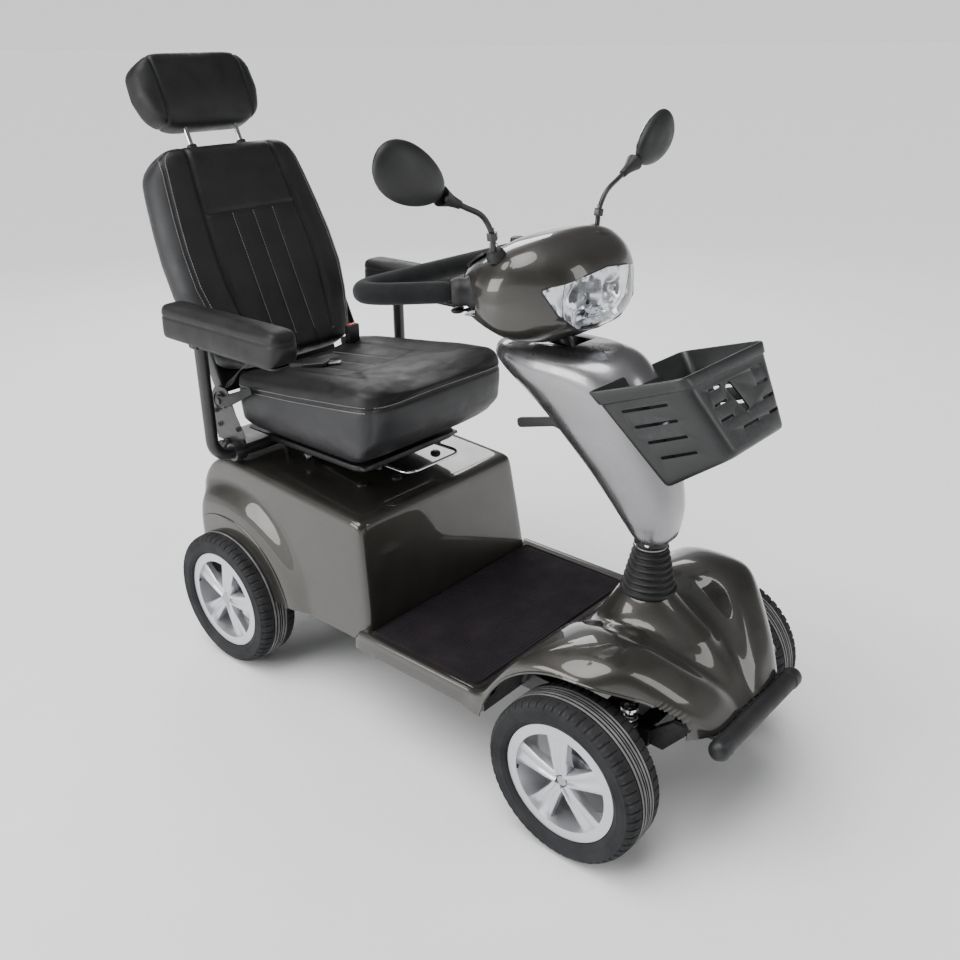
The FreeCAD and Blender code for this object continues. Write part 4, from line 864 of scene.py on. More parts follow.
# ------------------------------------------------------------------ head
HEAD_STATIONS = np.array([
    # x, half width, low, high, squareness
    (598, 112, 926, 1006, 3.2), (622, 136, 914, 1030, 3.0), (655, 158, 902, 1052, 2.8), (700, 178, 890, 1072, 2.7),
    (735, 180, 885, 1080, 2.9), (770, 166, 888, 1084, 3.0), (797, 150, 897, 1076, 3.0), (820, 130, 908, 1063, 3.0),
    (838, 106, 920, 1046, 2.9), (849, 74, 938, 1026, 2.7), (855, 38, 956, 1004, 2.5),
])


DASH_X = 645          # middle of the control panel


def dash_height(x):
    """Height of the sloping control panel."""
    return 985 + (x - 560) * 79 / 140


def head_rings(inset, around=96, along=80):
    """Smooth nacelle through its stations, as a grid of rings."""
    rows = smooth_path(HEAD_STATIONS[:, :3], along)
    more = smooth_path(HEAD_STATIONS[:, 3:], along)
    verts = []
    for (x, half, low), (high, power) in zip(rows, more):
        half, low, high = half - inset, low + inset, high - inset
        middle = low * 0.56 + high * 0.44
        for a in np.linspace(0, 2 * math.pi, around, endpoint=False):
            c, s = math.cos(a), math.sin(a)
            y = half * math.copysign(abs(c) ** (2 / power), c)
            z = math.copysign(abs(s) ** (2 / power), s)
            z = middle + z * ((high - middle) if z > 0 else (middle - low))
            if z > middle and x < 700:
                z = min(z, dash_height(x) - inset)
            pinch = 1 - 0.10 * max(0.0, (middle - z) / (middle - low)) ** 2
            verts.append((x + (inset if x < 620 else -inset if x > 835 else 0), y * pinch, z))
    faces = []
    for i in range(along - 1):
        for a in range(around):
            b = (a + 1) % around
            faces.append((i * around + a, (i + 1) * around + a, (i + 1) * around + b, i * around + b))
    faces.append(tuple(range(around)))
    faces.append(tuple((along - 1) * around + a for a in range(around))[::-1])
    return np.array(verts), faces


LENS_OUTLINE = [(-142, 1006, 8), (-60, 1022, 30), (0, 1028, 30), (60, 1022, 30), (142, 1006, 8), (118, 958, 30),
                (62, 921, 34), (0, 914, 30), (-62, 921, 34), (-118, 958, 30)]


def head():
    """Nacelle with its headlight, trim and dash."""
    wall = 2.8
    outer, outer_faces = head_rings(0)
    inner, inner_faces = head_rings(wall)
    whole = make("head_shell", outer, outer_faces, BODY_PAINT, "tiller", "body_paint", ["head_cover"])
    lens_outline = rounded_outline(LENS_OUTLINE, 8)
    window = slab(lens_outline, 764, 920, "X")
    mouth_side = rounded_outline([(560, 934, 0), (640, 936, 10), (682, 944, 12), (694, 972, 14), (676, 1000, 16),
                                  (560, 1004, 0)], 6)
    cutters = [cutter(inner, inner_faces), cutter(*window),
               cutter(*slab(mouth_side, -210, 210, "Y")), cutter(*block((690, -36, 860), (770, 36, 905)))]
    for x, y, radius in ((645, -70, 5), (645, 0, 5), (645, 70, 7.2), (717, -150, 5.3), (717, 150, 5.3)):
        cutters.append(bore(x, y, radius, 1000, 1100))
    carved(whole, cutters)
    glass = make("headlight_glass", outer, outer_faces, LENS, "tiller", "clear_lens", ["headlight_lens"])
    grown = rounded_outline([(y * 0.994, 965 + (z - 965) * 0.99, r) for y, z, r in LENS_OUTLINE], 8)
    thin, thin_faces = head_rings(2.2)
    carved(glass, [cutter(thin, thin_faces)])
    carved(glass, [cutter(*slab(grown, 764, 920, "X"))], "INTERSECT")
    reflector()
    rim_line = []
    for y, z in rounded_outline(LENS_OUTLINE, 14):
        rim_line.append(surface_x(y, z))
    make("headlight_rim", *swept(np.array(rim_line) + np.array([0.3, 0, 0]), 1.5, 8, closed=True), PLASTIC,
         "tiller", "black_plastic")
    side_trim()
    dash()


@functools.lru_cache(None)
def head_tree():
    """Ray-casting tree of the nacelle."""
    verts, faces = head_rings(0)
    return BVHTree.FromPolygons([tuple(v) for v in verts], faces)


def surface_x(y, z, inset=0.0):
    """Point of the nacelle's front at a place across and up."""
    hit = head_tree().ray_cast(Vector((1200, y, z)), Vector((-1, 0, 0)))[0]
    if hit is None:
        hit = Vector((800, y, z))
    return (hit.x - inset, hit.y, hit.z)


def reflector():
    """Faceted chrome bowls behind the lens, with bulbs."""
    ys = np.linspace(-141, 141, 95)
    zs = np.linspace(912, 1026, 43)
    verts = []
    outline = rounded_outline(LENS_OUTLINE, 8)
    border = np.array(outline)
    for z in zs:
        for y in ys:
            front = surface_x(y, z)[0]
            depth = 10 + 34 * math.exp(-((abs(y) - 46) / 34) ** 2 - ((z - 978) / 26) ** 2)
            depth += 16 * math.exp(-(y / 60) ** 4 - ((z - 940) / 12) ** 4)
            inward = float(np.clip(np.hypot(border[:, 0] - y, border[:, 1] - z).min() / 13, 0, 1))
            facet = 0.9 * abs(math.sin(y * math.pi / 17)) * inward
            verts.append((front - 3.2 - depth * inward ** 0.6 + facet, y, z))
    count = len(ys)
    keep = []
    for i in range(len(zs) - 1):
        for j in range(count - 1):
            middle = ((ys[j] + ys[j + 1]) / 2, (zs[i] + zs[i + 1]) / 2)
            if in_outline(middle, outline, 0.995):
                keep.append((i * count + j, i * count + j + 1, (i + 1) * count + j + 1, (i + 1) * count + j))
    make("headlight_reflector", np.array(verts), keep, REFLECTOR, "tiller", "chrome", sharp=18)
    back = [(v[0] - 3, v[1], v[2]) for v in verts]
    make("headlight_backing", np.array(back), [f[::-1] for f in keep], PLASTIC, "tiller", "black_plastic")
    bulbs, bases = [], []
    for side in (-1, 1):
        x, y, z = surface_x(side * 46, 978, 40)
        bulbs.append(ball((x + 12, y, z), (12, 6.5, 6.5)))
        bases.append(turned([(0.01, 6), (8, 6), (9, 4), (9, -4), (13, -5), (13, -8)], 28, axis="X",
                            at=(x - 2, y, z)))
        bases.append(swept(smooth_path([(x + 26, y, z - 10), (x + 27, y, z), (x + 26, y, z + 10)], 12), 3.2, 10))
    x, y, z = surface_x(0, 940, 24)
    bulbs.append(ball((x, y, z), (10, 34, 5)))
    make("headlight_bulbs", *merged(bulbs), LENS, "tiller", "clear_lens")
    make("headlight_bulb_bases", *merged(bases), GREY_STEEL, "tiller", "bare_steel")


def in_outline(point, outline, scale):
    """Whether a point lies in an outline shrunk about its middle."""
    middle_z = 968.0
    y, z = point[0] / scale, middle_z + (point[1] - middle_z) / scale
    inside = False
    for (a0, b0), (a1, b1) in zip(outline, outline[1:] + outline[:1]):
        if (b0 > z) != (b1 > z) and y < (a1 - a0) * (z - b0) / (b1 - b0) + a0:
            inside = not inside
    return inside


BAR_ENDS = ((705, 88), (486, 318))    # where the delta bar leaves the nacelle and where it turns, on the left
BAR_Z = 980
BAR_REACH = 205                       # foam along each straight, from the turn towards the nacelle


def side_trim():
    """Dark boots where the bar and the mirror arms leave the nacelle."""
    for name, side in SIDES.items():
        boot = turned([(21, 0), (25, 6), (27, 16), (25, 26), (30, 34), (33, 44)], 36, axis="Z")
        direction = Vector((BAR_ENDS[0][0] - BAR_ENDS[1][0], BAR_ENDS[0][1] - BAR_ENDS[1][1], 0)).normalized()
        start = Vector((*BAR_ENDS[1], BAR_Z)) + direction * BAR_REACH
        turn = Vector((0, 0, 1)).rotation_difference(direction).to_matrix()
        make(f"bar_boot_{name}", *sided(moved(boot, start, turn), side), RUBBER, "tiller", "black_plastic",
             sharp=50)
        base = turned([(0.01, 9), (11, 8.5), (15, 5), (17, 0), (18, -8)], 36)
        base = moved(base, (717, 150, 1056), rotation("X", -24))
        make(f"mirror_socket_{name}", *sided(base, side), RUBBER, "tiller", "black_plastic")


def dash():
    """Control panel on the rider's side of the nacelle: plate, gauge, switches."""
    tilt = math.degrees(math.atan2(79, 140))
    turn = rotation("Y", -tilt)
    centre = np.array([DASH_X, 0, dash_height(DASH_X) + 0.4])
    outline = rounded_outline([(-38, -112, 16), (34, -132, 20), (34, 132, 20), (-38, 112, 16)])
    panel = make("dash_panel", *moved(slab(outline, -1.2, 2.4), centre, turn), PLASTIC, "tiller", "black_plastic")
    carved(panel, [bore(DASH_X, y, r, 1000, 1100) for y, r in ((-70, 5.4), (0, 5.4), (70, 7.6))])
    bevelled(panel, 1.0)
    dial = turned([(17, 2.4), (19, 3.6), (21, 2.4), (25, 2.4), (25, 3.0), (26, 2.4)], 48)
    ticks = [moved(block((20.5, -0.5, 2.3), (24.5, 0.5, 3.0)), turn=rotation("Z", a)) for a in range(-135, 136, 27)]
    make("dial_scale", *moved(merged(ticks), centre, turn), THREAD, "tiller", "button_red")
    rings = [moved(turned([(9.2, 2.4), (9.4, 4.2), (11.5, 4.2), (12, 2.4)], 32), (0, y, 0)) for y in (-70, 70)]
    make("dash_bezels", *moved(merged(rings + [dial]), centre, turn), CHROME, "tiller", "chrome")
    gauge = slab(rounded_outline([(14, -34, 4), (28, -34, 4), (28, 34, 4), (14, 34, 4)]), 2.2, 4.4)
    bevelled(make("battery_gauge", *moved(gauge, centre, turn), PLASTIC, "tiller", "black_plastic"), 0.8)
    bars = [block((17, -28 + 8 * k, 4.3), (25, -23 + 8 * k, 4.9)) for k in range(7)]
    make("gauge_bars", *moved(merged(bars), centre, turn), RED_LENS, "tiller", "button_red")
    switches = []
    for y in (-104, -40, 36, 104):
        body = rounded_outline([(-9, y - 6, 2), (9, y - 6, 2), (9, y + 6, 2), (-9, y + 6, 2)])
        switches.append(slab(body, 2.0, 6.5))
    bevelled(make("dash_switches", *moved(merged(switches), centre, turn), PLASTIC, "tiller",
                  "black_plastic"), 1.2)


# ------------------------------------------------------------------ seat
LEAN = math.radians(24)
HINGE = (-40.0, 640.0)


def leaned(points):
    """Backrest's own (forward, left, up) millimetres to the resting, leaned place."""
    p = np.asarray(points, float).reshape(-1, 3)
    c, s = math.cos(LEAN), math.sin(LEAN)
    return np.stack([HINGE[0] + p[:, 0] * c - p[:, 2] * s, p[:, 1], HINGE[1] + p[:, 0] * s + p[:, 2] * c], 1)


def unleaned(points):
    """The other way: resting millimetres to the backrest's own frame."""
    c, s = math.cos(LEAN), math.sin(LEAN)
    dx, dz = points[:, 0] - HINGE[0], points[:, 2] - HINGE[1]
    return np.stack([dx * c + dz * s, points[:, 1], -dx * s + dz * c], 1)


def sewn(distance, width=6):
    """Cloth pinning that fades with the distance from a seam."""
    return np.exp(-(distance / width) ** 2)


def groove(distance, depth, width):
    """Depth of a sewn channel at a distance from its line."""
    return depth * np.exp(-(distance / width) ** 2)


def inflate(piece, pinned, pressure=3.0, cap=6.0, frames=16, stiff=18.0):
    """Puff a cover between its seams with cloth and air pressure; the move is capped, in mm."""
    rest = np.array([v.co for v in piece.data.vertices])
    group = piece.vertex_groups.new(name="seams")
    for index, weight in enumerate(pinned):
        if weight > 0.01:
            group.add([index], float(weight), "REPLACE")
    cloth = piece.modifiers.new("cloth", "CLOTH")
    settings = cloth.settings
    settings.quality = 5
    settings.mass = 0.35
    settings.tension_stiffness = stiff
    settings.compression_stiffness = stiff
    settings.shear_stiffness = stiff * 0.6
    settings.bending_stiffness = 1.2
    settings.use_pressure = True
    settings.uniform_pressure_force = pressure
    settings.vertex_group_mass = "seams"
    settings.effector_weights.gravity = 0.0
    cloth.collision_settings.use_collision = False
    cloth.point_cache.frame_start = 1
    cloth.point_cache.frame_end = frames
    scene = bpy.context.scene
    for step in range(1, frames + 1):
        scene.frame_set(step)
    graph = bpy.context.evaluated_depsgraph_get()
    result = piece.evaluated_get(graph)
    puffed = np.array([v.co for v in result.data.vertices])
    piece.modifiers.clear()
    piece.vertex_groups.clear()
    scene.frame_set(1)
    shift = puffed - rest
    size = np.linalg.norm(shift, axis=1)
    limit = cap * MM
    shift *= (np.minimum(size, limit) / np.maximum(size, 1e-9))[:, None]
    piece.data.vertices.foreach_set("co", (rest + shift).ravel())
    piece.data.update()
    return piece


def tree_of(piece):
    """Ray-casting tree of a piece, in row metres."""
    mesh = piece.data
    return BVHTree.FromPolygons([v.co.copy() for v in mesh.vertices], [tuple(p.vertices) for p in mesh.polygons])


def on_piece(tree, starts, directions):
    """Where rays first meet a piece: points and normals in mm from the axle."""
    points, normals = [], []
    for start, direction in zip(to_row(starts), directions):
        hit, normal, _, _ = tree.ray_cast(Vector(start), Vector(direction))
        if hit is not None:
            points.append(np.array(hit) / MM - np.array([AXLE_X, 0, 0]))
            normals.append(np.array(normal))
    return np.array(points), np.array(normals)


def stitches(points, normals, pitch=6.5, length=4.3, radius=0.55, lift=0.35):
    """Thread showing along a seam: one small bead for each stitch."""
    parts = []
    gaps = np.linalg.norm(np.diff(points, axis=0), axis=1)
    along = np.concatenate([[0], np.cumsum(gaps)])
    where = np.arange(pitch / 2, along[-1], pitch)
    middle = np.stack([np.interp(where, along, points[:, k]) for k in range(3)], 1)
    ahead = np.stack([np.interp(where + 1.0, along, points[:, k]) for k in range(3)], 1)
    up = np.stack([np.interp(where, along, normals[:, k]) for k in range(3)], 1)
    for m, a, n in zip(middle, ahead, up):
        n = n / np.linalg.norm(n)
        t = a - m
        size = np.linalg.norm(t)
        if size < 1e-6:
            continue
        t /= size
        verts, faces = swept([m - t * length / 2 + n * (lift - 0.5), m - t * length * 0.3 + n * lift,
                              m + t * length * 0.3 + n * lift, m + t * length / 2 + n * (lift - 0.5)],
                             [radius * 0.5, radius, radius, radius * 0.5], 6, up=n)
        parts.append((verts, faces))
    return parts


def seam_rows(tree, path, direction, offsets, across):
    """Rows of stitches beside a seam path cast onto a piece."""
    parts = []
    for offset in offsets:
        starts = np.asarray(path, float) + np.asarray(across, float) * offset
        points, normals = on_piece(tree, starts, [direction] * len(starts))
        if len(points) > 2:
            parts += stitches(points, normals)
    return parts


def back_width(lz):
    """Half width of the backrest at a height along it."""
    return np.interp(lz, [60, 110, 180, 250, 330, 400, 470, 540, 590],
                     [190, 208, 232, 246, 246, 239, 229, 217, 206])


def back_field(p):
    """Backrest in its own frame: flat insert, bolsters that fall back, soft rear."""
    s = np.abs(p[:, 1]) / back_width(p[:, 2]) * 220
    w = np.stack([p[:, 0], s, p[:, 2]], 1)
    planes = [plane((51, 0, 0), (1, 0, 0)), plane((54, 150, 0), (0.97, 0.24, 0)), plane((40, 190, 0), (0.66, 0.75, 0)),
              plane((0, 216, 0), (0.12, 1, 0)), plane((-60, 0, 0), (-1, 0, 0)), plane((-40, 208, 0), (-0.6, 0.8, 0)),
              plane((0, 0, 574), (0.0, 0, 1)), plane((0, 178, 560), (0, 0.72, 0.7)), plane((40, 0, 566), (0.6, 0, 0.8)),
              plane((-50, 0, 566), (-0.6, 0, 0.8)), plane((0, 0, 47), (0, 0, -1)), plane((0, 182, 60), (0, 0.5, -0.86)),
              plane((-40, 0, 60), (-0.5, 0, -0.85)), plane((44, 0, 59), (0.5, 0, -0.85))]
    return convex(w, planes, 7.0)


def back_seam_distance(local):
    """Distance of points from the sewn lines of the backrest's front."""
    y, lz = np.abs(local[:, 1]), local[:, 2]
    s = y / back_width(lz) * 220
    inner = np.abs(s - 122) + np.maximum(90 - lz, 0)
    cross = np.hypot(lz - 408, np.maximum(s - 122, 0))
    channel = np.minimum(np.abs(local[:, 1]), np.abs(y - 58))
    channel = np.hypot(channel, np.maximum(lz - 406, 0))
    side = np.abs(s - 186)
    return inner, cross, channel, side


def backrest():
    """Backrest cover with sewn channels and stitches, its rear board and its lugs."""
    verts, faces = wrapped(back_field, (-90, -275, 30), (80, 275, 600), (-22, -150, 120), (10, 150, 510),
                           (24, 72, 76), closed=True)
    local = np.array(verts)
    inner, cross, channel, side = back_seam_distance(local)
    pins = np.maximum.reduce([sewn(inner), sewn(cross), 0.7 * sewn(channel), sewn(side)])
    pins = np.where(local[:, 0] < -54, 1.0, pins)
    piece = make("backrest_cushion", leaned(local), faces, LEATHER, "backrest", "leather", ["backrest"], sharp=0)
    inflate(piece, pins, pressure=2.6, cap=5.0)
    subdivided(piece)
    # sewn channels pressed in after the cover has puffed
    local = unleaned(points_of(piece))
    inner, cross, channel, side = back_seam_distance(local)
    front = np.clip((local[:, 0] + 15) / 20, 0, 1)
    local[:, 0] -= np.maximum.reduce([groove(inner, 6.5, 5.0), groove(cross, 4.5, 4.0), groove(channel, 2.6, 3.2),
                                      groove(side, 2.2, 3.4)]) * front
    rim = np.abs(local[:, 0] + 42)
    local[:, 1] *= 1 - 0.012 * np.exp(-(rim / 3.0) ** 2)
    set_points(piece, leaned(local))
    lit_side_panels(piece, local)
    tree = tree_of(piece)
    facing = leaned([[-1, 0, 0]])[0] - leaned([[0, 0, 0]])[0]
    parts = []
    for y in (-58, 0, 58):
        path = leaned([[140, y, lz] for lz in np.linspace(98, 404, 90)])
        parts += seam_rows(tree, path, facing, (-1.7,), (0, 1, 0))
    for sign in (-1, 1):
        path = [[140, sign * 186 / 220 * float(back_width(lz)), lz] for lz in np.linspace(100, 520, 110)]
        edge = 186 / 220 * float(back_width(520))
        arc = [[140, sign * (edge - 30 * (1 - math.cos(a))), 520 + 40 * math.sin(a)]
               for a in np.linspace(0.08, 1.4, 18)]
        path = leaned(path + arc)
        parts += seam_rows(tree, path, facing, (-5.0, 5.0), (0, sign, 0))
    make("backrest_stitches", *merged(parts), THREAD, "backrest", "leather", sharp=60)
    panel = rounded_outline([(-182, 16, 16), (-196, 300, 60), (-170, 530, 50), (170, 530, 50), (196, 300, 60),
                             (182, 16, 16)], 8)
    back = slab(panel, -63.5, -58, "X")
    bevelled(make("backrest_board", leaned(back[0]), back[1], PLASTIC, "backrest", "black_plastic"), 3.0, 3)
    for name, sign in SIDES.items():
        verts, faces = slab(rounded_outline([(-24, -14, 10), (6, -14, 10), (6, 210, 8), (-24, 210, 8)]), 212.4, 219.6,
                            "Y")
        lug = make(f"backrest_lug_{name}", leaned(verts * np.array([1, sign, 1])),
                   faces if sign > 0 else [f[::-1] for f in faces], BLACK_STEEL, "backrest", "frame_steel")
        bevelled(lug, 1.0)


def lit_side_panels(piece, local):
    """Sides and rear of the backrest in a lighter, bluish copy of the leather: painted highlight where the light falls
    on them.
    """
    piece.data.materials.append(LEATHER_PAINTED_LIT)
    for polygon in piece.data.polygons:
        middle = local[list(polygon.vertices)].mean(0)
        s = abs(middle[1]) / float(back_width(middle[2])) * 220
        if s > 187 or middle[0] < -20:
            polygon.material_index = 1


def headrest():
    """Head pad with its two side seams, and the sleeves of its posts."""
    def field(p):
        s = np.abs(p[:, 1]) / np.interp(p[:, 2], [600, 640, 700, 750, 800], [132, 148, 165, 162, 148]) * 165
        w = np.stack([p[:, 0], s, p[:, 2]], 1)
        return convex(w, [plane((37, 0, 700), (1, 0, -0.16)), plane((39, 0, 715), (1, 0, 0.12)),
                          plane((-42, 0, 0), (-1, 0, 0)), plane((0, 165, 0), (0, 1, 0)), plane((0, 0, 791), (0, 0, 1)),
                          plane((0, 0, 619), (0, 0, -1)), plane((0, 140, 782), (0, 0.6, 0.8)),
                          plane((0, 138, 630), (0, 0.6, -0.8)), plane((28, 0, 636), (0.75, 0, -0.66)),
                          plane((28, 150, 700), (0.7, 0.7, 0))], 6.5)
    verts, faces = wrapped(field, (-70, -190, 600), (60, 190, 815), (-16, -110, 665), (14, 110, 745), (20, 52, 32),
                           closed=True)
    local = np.array(verts)
    seam = np.abs(np.abs(local[:, 1]) - 118)
    piece = make("headrest_cushion", leaned(local), faces, LEATHER, "headrest", "leather", ["headrest_pad"],
                 sharp=0)
    inflate(piece, sewn(seam), pressure=2.6, cap=4.0)
    subdivided(piece)
    local = unleaned(points_of(piece))
    seam = np.abs(np.abs(local[:, 1]) - 118)
    local[:, 0] -= groove(seam, 3.4, 3.4) * np.sign(local[:, 0]) * np.clip(np.abs(local[:, 0]) / 20, 0, 1)
    rise = local[:, 2] - 705
    local[:, 2] -= groove(seam, 2.4, 3.4) * np.sign(rise) * np.clip((np.abs(rise) - 50) / 20, 0, 1)
    set_points(piece, leaned(local))
    sleeves = []
    for sign in (-1, 1):
        sleeve = turned([(6.4, 570), (11, 571), (12, 575), (11.5, 581), (8, 583), (6.4, 583)], 28)
        sleeves.append((leaned(moved(sleeve, (0, sign * 70, 0))[0]), sleeve[1]))
    make("headrest_sleeves", *merged(sleeves), PLASTIC, "backrest", "black_plastic")


def cushion_top(x, y):
    """Height of the cushion's top, dished between its side bolsters and rounded over in front."""
    base = np.interp(x, [-22, 60, 200, 330, 400, 440, 458], [703, 712, 728, 744, 749, 742, 728])
    dish = -9 * np.exp(-(np.asarray(y) / 110) ** 4)
    crest = 5 * np.exp(-((np.abs(y) - 170) / 34) ** 2)
    return base + dish + crest


def cushion_rim(x):
    """Height of the seam between the cushion's top and its boxing."""
    return np.interp(x, [-22, 200, 400, 458], [676, 694, 714, 716])


def cushion_field(p):
    """Seat cushion: dished top, full sides and front, flat base."""
    y = np.abs(p[:, 1])
    top = (p[:, 2] - cushion_top(p[:, 0], y)) * 0.94
    belly = np.interp(p[:, 2], [549, 568, 600, 640, 690, 740], [130, 172, 208, 219, 221, 214])
    front = np.interp(p[:, 2], [549, 568, 600, 640, 690, 715, 745], [318, 356, 408, 446, 458, 457, 446])
    bow = front - 12 * (y / 222) ** 4
    planes = np.stack([top, y - belly, p[:, 0] - bow, -p[:, 0] - 22 + 0.5 * np.maximum(600 - p[:, 2], 0),
                       549.6 - p[:, 2], (y - 200) * 0.7 + (p[:, 0] - 436) * 0.7,
                       (y - 202) * 0.7 + (-4 - p[:, 0]) * 0.7])
    high = planes.max(0)
    k = 7.5
    return high + k * np.log(np.exp((planes - high) / k).sum(0))


def cushion():
    """Seat cushion cover with its seams and stitches."""
    verts, faces = wrapped(cushion_field, (-60, -260, 530), (500, 260, 800), (40, -150, 610), (390, 150, 690),
                           (72, 66, 34), closed=True)
    local = np.array(verts)

    def seams(q):
        y = np.abs(q[:, 1])
        boxing = np.abs(q[:, 2] - cushion_rim(q[:, 0]))
        boxing = np.where((y > 190) | (q[:, 0] > 415), boxing, 99)
        inner = np.hypot(np.abs(y - 128), np.maximum(q[:, 0] - 330, 0))
        inner = np.where(q[:, 2] > 690, inner, 99)
        cross = np.where((q[:, 2] > 690) & (y < 130), np.abs(q[:, 0] - 242), 99)
        channel = np.minimum(y, np.abs(y - 62))
        channel = np.where((q[:, 2] > 690), np.hypot(channel, np.maximum(q[:, 0] - 240, 0)), 99)
        corner_line = np.where(q[:, 2] < 718, np.abs((y - 196) - (440 - q[:, 0]) * 0.6), 99)
        corner_line = np.where((q[:, 0] > 400) & (y > 170), corner_line, 99)
        return boxing, inner, cross, channel, corner_line

    boxing, inner, cross, channel, corner_line = seams(local)
    pins = np.maximum.reduce([sewn(boxing), sewn(inner), 0.8 * sewn(channel), 0.8 * sewn(cross),
                              (local[:, 2] < 556) * 1.0])
    piece = make("seat_cushion_cover", local, faces, LEATHER, "seat", "leather", ["seat_cushion"], sharp=0)
    inflate(piece, pins, pressure=2.4, cap=4.5)
    subdivided(piece)
    fine = points_of(piece)
    boxing, inner, cross, channel, corner_line = seams(fine)
    fine[:, 2] -= np.maximum.reduce([groove(inner, 2.6, 5.0), groove(cross, 2.2, 4.0), groove(channel, 1.8, 3.5)])
    pull = groove(boxing, 3.0, 3.6)
    ahead = np.clip((fine[:, 0] - 415) / 20, 0, 1)
    outward = np.sign(fine[:, 1]) * np.clip((np.abs(fine[:, 1]) - 185) / 12, 0, 1)
    fine[:, 1] -= pull * outward
    fine[:, 0] -= pull * ahead + groove(corner_line, 2.0, 3.0) * ahead
    fine[:, 2] = np.maximum(fine[:, 2], 548.6)
    set_points(piece, fine)
    # The boxing under the rim seam takes the lighter copy of the leather: painted highlight on the cushion's lit sides.
    piece.data.materials.append(LEATHER_PAINTED_LIT)
    for polygon in piece.data.polygons:
        middle = fine[list(polygon.vertices)].mean(0)
        if middle[2] < cushion_rim(middle[0]):
            polygon.material_index = 1
    tree = tree_of(piece)
    parts = []
    for sign in (-1, 1):
        path = [(x, sign * 300, float(cushion_rim(x))) for x in np.linspace(6, 425, 110)]
        parts += seam_rows(tree, path, (0, -sign, 0), (5.5, -5.5), (0, 0, 1))
    path = [(560, y, 716) for y in np.linspace(-196, 196, 110)]
    parts += seam_rows(tree, path, (-1, 0, 0), (4.5,), (0, 0, 1))
    for y in (-62, 0, 62):
        path = [(x, y - 1.7, 820) for x in np.linspace(20, 236, 60)]
        parts += seam_rows(tree, path, (0, 0, -1), (0,), (0, 0, 0))
    make("seat_stitches", *merged(parts), THREAD, "seat", "leather", sharp=60)


def arm_pads():
    """Padded arm rests, hollowed over the tube they hinge on, with their bases."""
    for name, side in SIDES.items():
        def field(p):
            y = np.abs(p[:, 1] - 300)
            planes = [plane((0, 0, 879), (0, 0, 1)), plane((0, 34.5, 850), (0, 1, 0.05)),
                      plane((-91, 0, 0), (-1, 0, 0)), plane((319, 0, 0), (1, 0, 0.0)),
                      plane((0, 0, 804.5), (0, 0, -1)),
                      plane((0, 30, 876), (0, 0.7, 0.7)), plane((306, 0, 870), (0.7, 0, 0.7)),
                      plane((300, 0, 812), (0.8, 0, -0.6)), plane((308, 26, 840), (0.7, 0.7, 0)),
                      plane((-82, 27, 840), (-0.7, 0.7, 0)), plane((-84, 0, 872), (-0.7, 0, 0.7))]
            return convex(np.stack([p[:, 0], y, p[:, 2]], 1), planes, 4.0)
        verts, faces = wrapped(field, (-120, 250, 790), (350, 350, 900), (-60, 286, 826), (286, 314, 858),
                               (90, 24, 24), closed=True)
        local = np.array(verts)
        seam = np.abs(local[:, 2] - 853)
        pins = np.maximum(sewn(seam, 5), (local[:, 2] < 808) * 1.0)
        piece = make(f"arm_pad_cover_{name}", *sided((local, faces), side), LEATHER, f"arm_pad_{name}", "leather",
                     [f"arm_pad_{name}"], sharp=0)
        inflate(piece, pins, pressure=2.2, cap=2.5, frames=12)
        subdivided(piece)
        fine = points_of(piece)
        offset = fine[:, :2] - np.array([114.0, side * 300.0])
        pull = groove(np.abs(fine[:, 2] - 853), 2.2, 2.6)[:, None]
        across = np.stack([np.clip((np.abs(offset[:, 0]) - 190) / 20, 0, 1) * np.sign(offset[:, 0]),
                           np.clip((np.abs(offset[:, 1]) - 20) / 10, 0, 1) * np.sign(offset[:, 1])], 1)
        fine[:, :2] -= across * pull
        set_points(piece, fine)
        low, high = sorted((side * 283.5, side * 316.5))
        carved(piece, [cutter(*block((-110, low, 790), (2, high, 816.5)))], sharp=60)
        base = slab(rounded_outline([(34, 276, 10), (292, 276, 16), (292, 324, 16), (34, 324, 10)]), 798.5, 804.0)
        parts = [base]
        for y in (281, 311):
            parts.append(slab(rounded_outline([(-4, 791, 8), (24, 791, 8), (26, 803, 2), (-6, 803, 2)]), y, y + 8, "Y"))
        plate = make(f"arm_pad_base_{name}", *sided(merged(parts), side), PLASTIC, f"arm_pad_{name}",
                     "black_plastic")
        bevelled(plate, 1.0)


